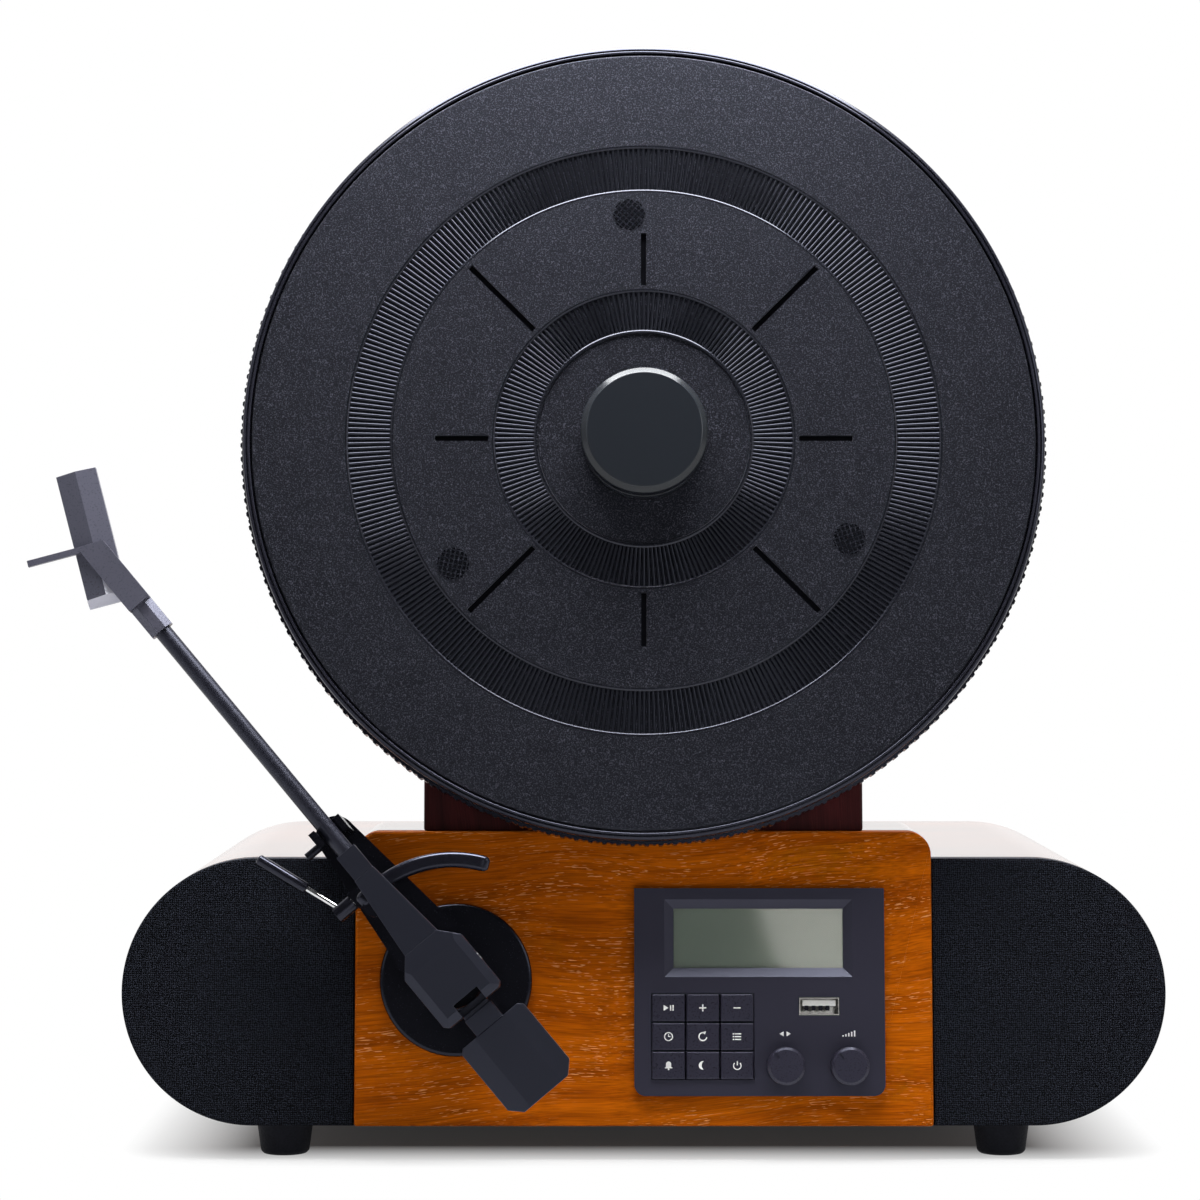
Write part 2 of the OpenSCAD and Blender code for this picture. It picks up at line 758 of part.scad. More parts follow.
module front_panel() {
  color("#b8641f") difference() {
    intersection() {
      panel_prism(0, block_rear_y);
      front_slab(-panel_t, 0);
    }
    on_front() translate([body_u - set_fit, body_v - set_fit, -2 * panel_t])
      cube([body_w + 2 * set_fit, body_h + 2 * set_fit, 3 * panel_t]);
  }
}

module grille_frame(side) {
  inner = panel_w / 2 + set_fit;
  color("#16161a") difference() {
    intersection() {
      base_prism(0, front_y, rear_y);
      front_slab(baffle_face, grille_face);
      side_zone(side, inner);
    }
    intersection() {
      base_prism(grille_bar, front_y - shell_t, rear_y);
      side_zone(side, inner + grille_bar);
    }
  }
}

module grille_cloth(side) {
  color("#101014") intersection() {
    base_prism(0, front_y, rear_y);
    front_slab(grille_face, cloth_face);
    side_zone(side, panel_w / 2 + set_fit);
  }
}

module baffle_boards() {
  color("#3a2c22") for (side = [-1, 1]) difference() {
    intersection() {
      base_prism(shell_t + set_fit, front_y, rear_y);
      front_slab(baffle_back, baffle_face);
      side_zone(side, panel_w / 2 + set_fit);
    }
    on_front() translate([side * driver_u, driver_v, baffle_back - baffle_t])
      cylinder(d = driver_hole_d, h = 3 * baffle_t);
  }
}

module speaker(side) {
  throat_r = magnet_d / 2 - 4 * driver_wall;
  magnet_back = -basket_depth - magnet_t;
  color("#55565a") on_front() translate([side * driver_u, driver_v, baffle_face]) rotate_extrude()
    polygon([[cone_r, driver_flange_t], [driver_d / 2, driver_flange_t], [driver_d / 2, 0],
             [cone_r + driver_wall, 0], [cone_r + driver_wall, -driver_wall],
             [throat_r + driver_wall, -basket_depth], [magnet_d / 2, -basket_depth],
             [magnet_d / 2, magnet_back], [dust_cap_r, magnet_back], [dust_cap_r, -basket_depth],
             [throat_r, -basket_depth], [cone_r, -driver_wall]]);
}

module cone(side) {
  cone_back = -basket_depth + magnet_t;
  color("#1a1a1c") on_front() translate([side * driver_u, driver_v, baffle_face]) rotate_extrude() {
    polygon([[0, cone_back], [dust_cap_r, cone_back], [cone_r - set_fit, driver_wall],
             [cone_r - set_fit, driver_flange_t], [cone_r - 2 * driver_wall, driver_flange_t],
             [dust_cap_r, cone_back + 2 * driver_wall], [0, cone_back + 3 * driver_wall]]);
  }
}

module back_board() {
  color("#2a2420") difference() {
    base_prism(shell_t + set_fit, back_face - back_t, back_face);
    translate([inlet_x, back_face + back_t, foot_h + jacks_z]) rotate([90, 0, 0])
      cylinder(d = inlet_d + 2 * set_fit, h = 3 * back_t);
    for (side = [-1, 1]) translate([jacks_x + side * jack_pitch / 2, back_face + back_t, foot_h + jacks_z])
      rotate([90, 0, 0]) cylinder(d = jack_d + 2 * set_fit, h = 3 * back_t);
  }
}

module case_screws() {
  across = base_w / 2 - base_h / 2;
  up = base_h / 2 - shell_t - screw_inset;
  color("#26262a") {
    for (sx = [-1, -1 / 3, 1 / 3, 1], sz = [-1, 1])
      translate([sx * across, back_face, foot_h + base_h / 2 + sz * up]) rotate([-90, 0, 0]) slotted_screw();
    for (side = [-1, 1], v = [panel_len + 2 * screw_inset, spindle_v, upright_top - upright_corner_r])
      on_front() translate([side * (upright_w / 2 - screw_inset), v, cover_back])
        rotate([180, 0, 0]) slotted_screw();
  }
}

module feet() {
  color("#141416") for (sx = [-1, 1], y = [front_y + foot_inset, rear_y - foot_inset])
    translate([sx * foot_x, y, 0]) rotate_extrude()
      polygon([[0, 0], [foot_floor_d / 2 - foot_chamfer, 0], [foot_floor_d / 2, foot_chamfer],
               [foot_top_d / 2, foot_h], [0, foot_h]]);
}

// Upright

module upright_outline(inset) {
  round_top(upright_w - 2 * inset, upright_top - inset, upright_corner_r - inset);
}

module below_block_top() {
  translate([-reach / 2, -reach / 2, panel_top_z - reach]) cube(reach);
}

module upright_housing() {
  color("#5a2a1c") difference() {
    on_front() translate([0, 0, upright_back]) linear_extrude(upright_t) upright_outline(0);
    on_front() translate([0, 0, upright_back - upright_wall])
      linear_extrude(upright_t) upright_outline(upright_wall);
    on_spindle() translate([0, 0, bearing_back]) cylinder(d = bearing_d, h = 2 * bearing_len);
    on_spindle() translate([0, -motor_drop, bearing_back])
      cylinder(d = motor_d / 2, h = 2 * bearing_len);
    below_block_top();
  }
}

module upright_rear_cover() {
  color("#241a16") difference() {
    on_front() translate([0, 0, cover_back]) linear_extrude(cover_t) upright_outline(0);
    for (i = [0 : vent_n - 1])
      on_spindle() translate([0, (i - (vent_n - 1) / 2) * vent_pitch - motor_drop / 2, cover_back - cover_t])
        linear_extrude(3 * cover_t) stadium(vent_len, vent_w);
    below_block_top();
  }
}

// Drive

module drive_motor() {
  motor_front = upright_face - upright_wall;
  color("#8c8e92") on_spindle() translate([0, -motor_drop, 0]) rotate_extrude()
    polygon([[motor_shaft_d / 2 + run_fit, motor_front - motor_len],
             [motor_d / 2, motor_front - motor_len], [motor_d / 2, motor_front],
             [motor_d / 5, motor_front], [motor_d / 5, upright_face],
             [motor_shaft_d / 2 + run_fit, upright_face]]);
}

module motor_pulley() {
  shaft_low = upright_face - upright_wall - motor_len + motor_shaft_d;
  color("#c8b070") on_spindle() translate([0, -motor_drop, 0]) {
    translate([0, 0, shaft_low]) cylinder(d = motor_shaft_d, h = pulley_low + pulley_h - shaft_low);
    translate([0, 0, pulley_low]) cylinder(d = pulley_d, h = pulley_h);
    for (h = [pulley_low, pulley_low + pulley_h - pulley_flange_h])
      translate([0, 0, h]) cylinder(r = pulley_flange_r, h = pulley_flange_h);
  }
}

// Two wheels and the straight runs between them, which bite a little into both
module belt_loop(grow) {
  big = belt_ring_r + grow;
  small = pulley_d / 2 + grow;
  tilt = asin((big - small) / motor_drop);
  circle(r = big);
  translate([0, -motor_drop]) circle(r = small);
  run_big = big - belt_bite;
  run_small = small - belt_bite;
  polygon([for (p = [[1, run_big, 0], [1, run_small, 1], [-1, run_small, 1], [-1, run_big, 0]])
    [p[0] * p[1] * cos(tilt), -p[1] * sin(tilt) - p[2] * motor_drop]]);
}

module drive_belt() {
  color("#202022") on_spindle() translate([0, 0, belt_low]) difference() {
    linear_extrude(belt_w) belt_loop(belt_fit + belt_t);
    translate([0, 0, -cut]) linear_extrude(belt_w + 2 * cut) belt_loop(belt_fit);
  }
}

module spindle_bearing() {
  color("#c2a050") on_spindle() rotate_extrude()
    polygon([[spindle_r + run_fit, bearing_back], [bearing_d / 2, bearing_back],
             [bearing_d / 2, upright_face], [bearing_flange_d / 2, upright_face],
             [bearing_flange_d / 2, upright_face + bearing_flange_t],
             [spindle_r + run_fit, upright_face + bearing_flange_t]]);
}

module spindle() {
  color("#c8cacc") on_spindle() rotate_extrude() {
    translate([0, bearing_back - spindle_tail])
      square([spindle_r, spindle_tip - spindle_r - bearing_back + spindle_tail]);
    intersection() {
      translate([0, spindle_tip - spindle_r]) circle(r = spindle_r);
      translate([0, spindle_tip - spindle_r]) square(spindle_r);
    }
  }
}

// Platter

module platter() {
  rib_start = belt_ring_r + under_rib_h;
  color("#2c2c30") on_spindle() {
    rotate_extrude() {
      translate([spindle_r, plate_low]) square([skirt_r - spindle_r, plate_t]);
      translate([skirt_r - skirt_t, platter_gap]) square([skirt_t, plate_low - platter_gap + plate_t]);
      translate([lip_r - shoulder_r, platter_gap + rim_h])
        square([shoulder_r, platter_h - rim_h - shoulder_r]);
      translate([lip_r - shoulder_r, platter_face - shoulder_r]) intersection() {
        circle(r = shoulder_r);
        square(shoulder_r);
      }
      translate([belt_ring_r - skirt_t, belt_low - belt_fit])
        square([skirt_t, plate_low - belt_low + belt_fit + plate_t]);
      translate([spindle_r, hub_low]) square([hub_d / 2 - spindle_r, plate_low - hub_low + plate_t]);
    }
    for (i = [0 : under_rib_n - 1]) rotate([0, 0, (i + 0.5) * 360 / under_rib_n])
      translate([rib_start, -skirt_t / 4, plate_low - under_rib_h])
        cube([skirt_r - skirt_t / 2 - rib_start, skirt_t / 2, under_rib_h + plate_t / 2]);
  }
}

// Outline of two ridges: shares of the pitch and of the wide ridge's stand
module platter_rim() {
  ridge_pair = [[0, 0], [0.1, 1], [0.32, 1], [0.42, 0], [0.6, 0], [0.67, 0.5], [0.83, 0.5], [0.9, 0]];
  color("#26262a") on_spindle() translate([0, 0, platter_gap]) linear_extrude(rim_h) difference() {
    polygon([for (i = [0 : knurl_n - 1], p = ridge_pair)
      let (a = (i + p[0]) * 360 / knurl_n, r = lip_r + p[1] * knurl_depth) [r * cos(a), r * sin(a)]]);
    circle(r = skirt_r, $fn = rim_sides);
  }
}

module slots() {
  for (i = [0 : slot_n - 1]) rotate([0, 0, i * 360 / slot_n])
    translate([slot_start_r, -slot_w / 2])
      square([(i % 2 == 0 ? short_slot_end_r : long_slot_end_r) - slot_start_r, slot_w]);
}

module at_pads() {
  for (i = [0 : pad_n - 1]) rotate([0, 0, 90 + pad_turn + i * 360 / pad_n])
    translate([pad_circle_r, 0, 0]) children();
}

module platter_mat() {
  ribs_low = mat_t - rib_depth;
  color("#333338") on_spindle() translate([0, 0, mat_seat]) {
    difference() {
      cylinder(r = mat_r, h = mat_t);
      translate([0, 0, -mat_t]) cylinder(r = spindle_r + set_fit, h = 3 * mat_t);
      translate([0, 0, ribs_low]) linear_extrude(mat_t) ring(outer_rib_out_d / 2, outer_rib_in_d / 2);
      translate([0, 0, ribs_low]) linear_extrude(mat_t) ring(inner_rib_out_d / 2, inner_rib_in_d / 2);
      translate([0, 0, mat_t - centre_depth]) cylinder(d = centre_d, h = mat_t);
      translate([0, 0, mat_t - slot_depth]) linear_extrude(mat_t) slots();
      at_pads() translate([0, 0, ribs_low]) cylinder(d = pad_d, h = mat_t);
    }
    for (ribs = [[outer_rib_n, outer_rib_in_d / 2, outer_rib_out_d / 2],
                 [inner_rib_n, inner_rib_in_d / 2, inner_rib_out_d / 2]])
      translate([0, 0, ribs_low]) linear_extrude(rib_depth - rib_drop) difference() {
        teeth(ribs[0], ribs[1] - rib_root, ribs[2] + rib_root);
        circle(r = ribs[1] - 2 * rib_root);
      }
  }
}

module mat_pads() {
  pad_h = rib_depth + pad_stand;
  grooves = floor(pad_d / pad_pitch / 2);
  color("#3c3c42") on_spindle() translate([0, 0, platter_face - rib_depth]) at_pads() difference() {
    cylinder(d = pad_d, h = pad_h);
    for (turn = [45, 135], i = [-grooves : grooves]) rotate([0, 0, turn])
      translate([-pad_d, i * pad_pitch - pad_groove / 2, pad_h - pad_groove])
        cube([2 * pad_d, pad_groove, pad_h]);
  }
}

module record_clamp() {
  r = clamp_d / 2;
  face = clamp_low + clamp_h;
  mid = clamp_low + clamp_h / 2;
  bore_top = spindle_tip + clamp_tip_room;
  color("#303036") on_spindle() rotate_extrude()
    polygon([[spindle_r + run_fit, clamp_low], [r - clamp_chamfer / 2, clamp_low],
             [r, clamp_low + clamp_chamfer / 2], [r, mid - clamp_groove], [r - clamp_groove, mid],
             [r, mid + clamp_groove], [r, face - clamp_chamfer], [r - clamp_chamfer, face], [0, face],
             [0, bore_top], [spindle_r + run_fit, bore_top]]);
}

// Tonearm

module arm_base() {
  edge = arm_disc_t / 4;
  r = arm_disc_d / 2;
  color("#1e1e22") on_arm() rotate_extrude()
    polygon([[0, 0], [r, 0], [r, arm_disc_t - edge], [r - edge, arm_disc_t],
             [pillar_d / 2, arm_disc_t], [pillar_d / 2, pillar_top], [swing_pin_d / 2, pillar_top],
             [swing_pin_d / 2, swing_pin_top], [0, swing_pin_top]]);
}

module arm_bracket() {
  near = pillar_d / 2 + bracket_t;
  bearing_w = 2 * (cue_s - plunger_s - guide_r) - 2 * set_fit;
  color("#1c1c20") on_arm() difference() {
    union() {
      translate([0, 0, arm_disc_t]) linear_extrude(bracket_t) {
        polygon([[near, -bracket_half_w], [rest_s, -bracket_end_r], [rest_s, bracket_end_r],
                 [near, bracket_half_w]]);
        translate([rest_s, 0]) circle(r = bracket_end_r);
      }
      translate([plunger_s, plunger_t, arm_disc_t]) cylinder(r = guide_r, h = guide_top - arm_disc_t);
      translate([cue_s - bearing_w / 2, cue_inner, arm_disc_t])
        cube([bearing_w, cue_bearing_out - cue_inner, cue_h - arm_disc_t + cue_journal_d]);
    }
    translate([plunger_s, plunger_t, plunger_low - plunger_room])
      cylinder(d = plunger_d + 2 * run_fit, h = guide_top);
    translate([cue_s, 0, cue_h]) across_arm()
      cylinder(d = cue_journal_d + 2 * run_fit, h = 2 * cue_bearing_out);
  }
}

module arm_rest() {
  color("#24242a") on_arm() translate([rest_s - rest_len / 2, 0, bracket_top]) {
    translate([0, -prong_out, 0]) cube([rest_len, 2 * prong_out, saddle_h - bracket_top]);
    translate([0, prong_in, 0]) cube([rest_len, prong_t, arm_h + tube_r - bracket_top + prong_t]);
    translate([0, -prong_out, 0]) cube([rest_len, prong_t, arm_h - tube_r - rest_room - bracket_top]);
    translate([rest_len / 2, 0, cue_shaft_h]) across_arm() cylinder(d = peg_d, h = peg_reach);
  }
}

module arm_yoke() {
  color("#2a2a2e") on_arm() difference() {
    union() {
      translate([0, 0, pillar_top + set_fit]) cylinder(d = pillar_d, h = turret_h);
      translate([-yoke_half_len, -yoke_half_w, pillar_top + set_fit])
        cube([2 * yoke_half_len, 2 * yoke_half_w, yoke_top - pillar_top - set_fit]);
    }
    translate([0, 0, pillar_top - cut])
      cylinder(d = swing_pin_d + 2 * run_fit, h = swing_pin_top - pillar_top + cut + set_fit);
    translate([0, -reach / 2, arm_h]) across_arm() cylinder(d = lift_pin_d, h = reach);
  }
}

module lift_pins() {
  color("#c8cacc") on_arm() for (turn = [0, 180]) rotate([0, 0, turn])
    translate([0, yoke_half_w / 2, arm_h]) across_arm()
      cylinder(d = lift_pin_d, h = housing_half_w - yoke_half_w / 2 + set_fit);
}

module arm_housing() {
  shoulder = housing_front - housing_nose;
  tail = 1.5;
  crown = 3;
  height = housing_over + housing_under;
  pocket_rear = housing_rear - housing_wall;
  color("#2e2e34") on_arm() difference() {
    intersection() {
      translate([0, 0, arm_h - housing_under]) linear_extrude(height)
        polygon([[housing_front, sleeve_big_r], [shoulder, housing_half_w],
                 [tail - housing_rear, housing_half_w], [-housing_rear, housing_half_w - tail],
                 [-housing_rear, tail - housing_half_w],
                 [tail - housing_rear, -housing_half_w], [shoulder, -housing_half_w],
                 [housing_front, -sleeve_big_r]]);
      translate([-housing_rear, 0, arm_h - housing_under]) rotate([90, 0, 90])
        linear_extrude(housing_rear + housing_front)
          polygon([[-housing_half_w, 0], [housing_half_w, 0], [housing_half_w, height - crown],
                   [housing_half_w - crown, height], [crown - housing_half_w, height],
                   [-housing_half_w, height - crown]]);
      translate([0, housing_half_w, arm_h - housing_under]) rotate([90, 0, 0])
        linear_extrude(2 * housing_half_w)
          polygon([[-housing_rear, 0], [housing_front, 0], [housing_front, height - crown],
                   [shoulder, height], [crown - housing_rear, height], [-housing_rear, height - crown]]);
    }
    translate([-pocket_rear, housing_wall - housing_half_w, arm_h - housing_under - cut])
      cube([pocket_rear + shoulder, 2 * (housing_half_w - housing_wall), height + cut - housing_wall]);
    translate([-2 * housing_rear, -paddle_neck_half_w, arm_h + housing_wall])
      cube([2 * housing_rear - yoke_half_len - cut, 2 * paddle_neck_half_w, height]);
    translate([0, -reach / 2, arm_h]) across_arm() cylinder(d = lift_pin_d + 2 * run_fit, h = reach);
  }
}

module arm_sleeve() {
  taper = [[housing_front, sleeve_big_r], [sleeve_end, sleeve_small_r], [sleeve_end, -sleeve_small_r],
           [housing_front, -sleeve_big_r]];
  collar_half = sleeve_small_r - set_fit;
  color("#2e2e34") on_arm() difference() {
    union() {
      intersection() {
        translate([0, 0, arm_h - sleeve_big_r - cut]) linear_extrude(2 * (sleeve_big_r + cut)) polygon(taper);
        translate([0, sleeve_big_r + cut, arm_h]) rotate([90, 0, 0])
          linear_extrude(2 * (sleeve_big_r + cut)) polygon(taper);
      }
      translate([sleeve_end - cut, -collar_half, arm_h - collar_half])
        cube([grip_end - sleeve_end + cut, 2 * collar_half, 2 * collar_half]);
    }
    translate([grip_end - tube_seat, 0, arm_h]) along_arm() cylinder(d = tube_d, h = 2 * tube_seat);
  }
}

module arm_tube() {
  start = grip_end - tube_seat;
  color("#303036") on_arm() translate([start, 0, arm_h]) along_arm()
    cylinder(d = tube_d, h = head_collar_start + tube_seat - start);
}

module headshell() {
  collar_end = head_collar_start + head_collar_len;
  half = head_len / 2;
  half_w = head_w / 2;
  ridge = head_edge_t + head_crown;
  turn = 180 / collar_sides;
  color("#2c2c32") {
    on_arm() difference() {
      union() {
        translate([head_collar_start, 0, arm_h]) along_arm() rotate([0, 0, turn])
          cylinder(d = head_collar_w / cos(turn), h = head_collar_len, $fn = collar_sides);
        translate([0, 0, head_low + set_fit]) linear_extrude(ridge + neck_rise - set_fit) intersection() {
          translate([collar_end - cut, -neck_w / 2]) square([head_s - collar_end, neck_w]);
          translate([head_s, -head_t]) rotate(-head_turn) translate([-finger_x - head_len, -half])
            square([head_len, head_len]);
        }
      }
      translate([head_collar_start - tube_seat, 0, arm_h]) along_arm()
        cylinder(d = tube_d, h = 2 * tube_seat);
    }
    on_head() {
      intersection() {
        translate([-half, 0, head_low]) rotate([90, 0, 90]) linear_extrude(head_len)
          polygon([[-half_w, 0], [half_w, 0], [half_w, head_edge_t], [0, ridge], [-half_w, head_edge_t]]);
        translate([0, head_w, head_low]) rotate([90, 0, 0]) linear_extrude(2 * head_w)
          polygon([[-half, 0], [half, 0], [half, ridge + cut], [head_slope - half, ridge + cut],
                   [-half, head_edge_t - head_slope + cut]]);
      }
      translate([-finger_x - finger_w, 0, head_low + ridge - finger_t + neck_rise - set_fit])
        cube([finger_w - set_fit, finger_len, finger_t]);
    }
  }
}

module cartridge() {
  half_w = cartridge_w / 2;
  height = head_low - cartridge_low;
  edge = 1;
  color("#3a3a40") on_head() translate([stylus_x - cartridge_len + cartridge_nose, 0, cartridge_low])
    rotate([90, 0, 90]) linear_extrude(cartridge_len)
      polygon([[edge - half_w, 0], [half_w - edge, 0], [half_w, height / 3], [half_w, height],
               [-half_w, height], [-half_w, height / 3]]);
}

module stylus() {
  guard_len = 10;
  guard_w = 4;
  tip_d = 0.5;
  tip_show = 3 * tip_d;
  guard_low = stylus_tip + tip_show;
  color("#b03028") on_head() {
    translate([stylus_x - guard_len + guard_w / 2, -guard_w / 2, guard_low])
      cube([guard_len, guard_w, cartridge_low - guard_low]);
    translate([stylus_x, 0, stylus_tip]) cylinder(d1 = tip_d, d2 = tip_show, h = tip_show);
  }
}

module counterweight() {
  low = arm_h - paddle_t / 2;
  edge = 1.5;
  color("#2a2a30") on_arm() {
    translate([-paddle_start - cut, -paddle_neck_half_w, arm_h - housing_under])
      cube([paddle_start + cut - housing_rear, 2 * paddle_neck_half_w, housing_under + housing_wall]);
    translate([-paddle_start - cut, -paddle_neck_half_w - edge / 3, low + edge])
      cube([paddle_start + cut - housing_rear - paddle_gap, 2 * (paddle_neck_half_w + edge / 3),
            paddle_t - edge - set_fit]);
    intersection() {
      translate([0, 0, low]) linear_extrude(paddle_t)
        polygon([[-paddle_start, paddle_half_w - edge], [-paddle_start - edge, paddle_half_w],
                 [paddle_chamfer - paddle_end, paddle_half_w], [-paddle_end, paddle_half_w - paddle_chamfer],
                 [-paddle_end, paddle_chamfer - paddle_half_w], [paddle_chamfer - paddle_end, -paddle_half_w],
                 [-paddle_start - edge, -paddle_half_w], [-paddle_start, edge - paddle_half_w]]);
      translate([-paddle_end, 0, low]) rotate([90, 0, 90]) linear_extrude(paddle_end)
        polygon([[edge - paddle_half_w, 0], [paddle_half_w - edge, 0], [paddle_half_w, edge],
                 [paddle_half_w, paddle_t - 2 * edge], [paddle_half_w / 2, paddle_t],
                 [-paddle_half_w / 2, paddle_t], [-paddle_half_w, paddle_t - 2 * edge],
                 [-paddle_half_w, edge]]);
    }
  }
}

// Cueing

module cue_lever() {
  color("#d8dadc") on_arm() translate([cue_s, 0, cue_h]) {
    translate([0, cue_inner + set_fit, 0]) across_arm()
      cylinder(d = cue_journal_d, h = cue_barrel_out - cue_inner - set_fit);
    translate([0, cue_bearing_out + set_fit, 0]) across_arm()
      cylinder(d = cue_barrel_d, h = cue_barrel_out - cue_bearing_out - set_fit);
    translate([0, cue_rod_root, 0]) rotate([0, 0, cue_turn]) along_arm()
      cylinder(d = cue_rod_d, h = cue_len - cue_rod_d);
  }
}

module cue_lever_grip() {
  r = cue_grip_d / 2;
  edge = r / 3;
  color("#18181a") on_arm() translate([cue_s, cue_rod_root, cue_h]) rotate([0, 0, cue_turn])
    translate([cue_len - cue_grip_len, 0, 0]) along_arm() difference() {
      rotate_extrude() polygon([[0, 0], [r - edge, 0], [r, edge], [r, cue_grip_len - edge],
                                [r - edge, cue_grip_len], [0, cue_grip_len]]);
      translate([0, 0, -cue_rod_d]) cylinder(d = cue_rod_d, h = cue_grip_len);
    }
}

module cue_lift_bar() {
  span = plunger_angle - bar_end_angle;
  color("#1a1a1e") {
    on_front() translate([pivot_u, pivot_v, bar_low]) {
      intersection() {
        linear_extrude(bar_t) ring(bar_out_r, bar_in_r);
        rotate([0, 0, bar_end_angle]) linear_extrude(bar_t)
          polygon([[0, 0], [reach, 0], [reach * cos(span), reach * sin(span)]]);
      }
      rotate([0, 0, bar_end_angle]) translate([bar_r, 0, 0]) cylinder(d = bar_w - set_fit, h = bar_t);
    }
    on_arm() translate([plunger_s, plunger_t, 0]) {
      translate([0, 0, bar_low - set_fit]) cylinder(r = guide_r, h = bar_t);
      translate([0, 0, plunger_low]) cylinder(d = plunger_d, h = bar_low - plunger_low + cut);
    }
  }
}

// Controls

module on_bezel(u, v, h) {
  on_front() translate([bezel_u + u, bezel_v + v, h]) children();
}

// The bezel's outline has square top corners and round bottom ones
module bezel_outline() {
  translate([bezel_w / 2, bezel_h]) rotate([0, 0, 180]) round_top(bezel_w, bezel_h, bezel_corner_r);
}

module control_bezel() {
  keys_w = key_cols * key_pitch_u;
  keys_h = key_rows * key_pitch_v;
  over = 1.5;
  color("#33343c") difference() {
    union() {
      on_bezel(0, 0, 0) linear_extrude(bezel_stand) bezel_outline();
      on_front() translate([body_u, body_v, -bezel_depth]) cube([body_w, body_h, bezel_depth + cut]);
    }
    on_front() translate([body_u + bezel_wall, body_v + bezel_wall, -bezel_depth - cut])
      cube([body_w - 2 * bezel_wall, body_h - 2 * bezel_wall, bezel_depth + cut + bezel_floor]);
    on_bezel(glass_u, glass_v, bezel_stand - glass_sink)
      bevelled_well(glass_w, glass_h, over * glass_bevel, over * glass_sink);
    on_bezel(glass_u - set_fit, glass_v - set_fit, bezel_floor - cut)
      cube([glass_w + 2 * set_fit, glass_h + 2 * set_fit, glass_t + cut]);
    on_bezel(keys_u, keys_v, bezel_floor - cut) cube([keys_w, keys_h, bezel_depth]);
    on_bezel(port_u - port_w / 2 - set_fit, port_v - port_h / 2 - set_fit, bezel_floor - cut)
      cube([port_w + 2 * set_fit, port_h + 2 * set_fit, bezel_depth]);
    for (u = [tune_u, volume_u]) on_bezel(u, knob_v, bezel_floor - cut)
      cylinder(d = knob_stem_d + 4 * set_fit, h = bezel_depth);
  }
}

module display_window() {
  color("#9fb0a8", 0.5) on_bezel(glass_u, glass_v, bezel_floor) cube([glass_w, glass_h, glass_t]);
}

module display_panel() {
  border = 1;
  color("#6f7d74") on_bezel(glass_u - border, glass_v - border, board_top)
    cube([glass_w + 2 * border, glass_h + 2 * border, bezel_floor - board_top]);
}

module at_key(index) {
  col = index % key_cols + cell_mid;
  row = key_rows - cell_mid - floor(index / key_cols);
  on_bezel(keys_u + col * key_pitch_u, keys_v + row * key_pitch_v, 0) children();
}

module control_board() {
  switch_w = key_pitch_v / 2;
  pot_w = 2 * knob_stem_d;
  pot_h = 1.5 * knob_stem_d;
  color("#1f4a30") {
    on_front() translate([body_u + bezel_wall + set_fit, body_v + bezel_wall + set_fit, board_top - board_t])
      cube([body_w - 2 * bezel_wall - 2 * set_fit, body_h - 2 * bezel_wall - 2 * set_fit, board_t]);
    for (index = [0 : key_cols * key_rows - 1]) at_key(index)
      translate([-switch_w / 2, -switch_w / 2, board_top - board_t / 2])
        cube([switch_w, switch_w, switch_top - board_top + board_t / 2]);
    for (u = [tune_u, volume_u]) on_bezel(u, knob_v, board_top - board_t / 2) difference() {
      translate([-pot_w / 2, -pot_h / 2, 0]) cube([pot_w, pot_h, switch_top - board_top]);
      translate([0, 0, board_t]) cylinder(d = knob_stem_d + 2 * run_fit, h = bezel_depth);
    }
  }
}

module key(index) {
  w = key_pitch_u - key_gap;
  h = key_pitch_v - key_gap;
  height = bezel_stand + key_stand - key_low;
  color("#3a3b44") at_key(index) translate([-w / 2, h / 2, key_low + height]) rotate([180, 0, 0])
    bevelled_key(w, h, height);
}

// Block whose face is drawn in by the key's chamfer
module bevelled_key(w, h, depth) {
  c = key_chamfer;
  intersection() {
    translate([0, h, 0]) rotate([90, 0, 0]) linear_extrude(h)
      polygon([[c, 0], [w - c, 0], [w, c], [w, depth], [0, depth], [0, c]]);
    rotate([90, 0, 90]) linear_extrude(w)
      polygon([[c, 0], [h - c, 0], [h, c], [h, depth], [0, depth], [0, c]]);
  }
}

module knob(u) {
  r = knob_d / 2;
  stem_low = board_top + board_t;
  color("#2c2d34") on_bezel(u, knob_v, 0) difference() {
    union() {
      translate([0, 0, knob_low]) rotate_extrude()
        polygon([[0, 0], [r, 0], [r, knob_h - knob_chamfer], [r - knob_chamfer, knob_h], [0, knob_h]]);
      translate([0, 0, stem_low]) cylinder(d = knob_stem_d, h = knob_low + cut - stem_low);
    }
    rotate([0, 0, knob_mark_angle])
      translate([r - knob_mark_len, -knob_mark_w / 2, knob_low + knob_h - knob_mark_depth])
        cube([knob_mark_len + cut, knob_mark_w, 2 * knob_mark_depth]);
  }
}

module port_socket() {
  inner_w = port_w - 2 * port_wall;
  inner_h = port_h - 2 * port_wall;
  depth = port_face - board_top;
  back = 1;
  side_gap = 0.8;
  top_gap = 0.6;
  color("#b8babd") on_bezel(port_u - port_w / 2, port_v - port_h / 2, board_top) {
    difference() {
      cube([port_w, port_h, depth]);
      translate([port_wall, port_wall, back]) cube([inner_w, inner_h, depth]);
    }
    translate([port_wall + side_gap, port_h - port_wall - top_gap - port_tongue, back / 2])
      cube([inner_w - 2 * side_gap, port_tongue, depth - back - back / 2]);
  }
}

// Inside and rear

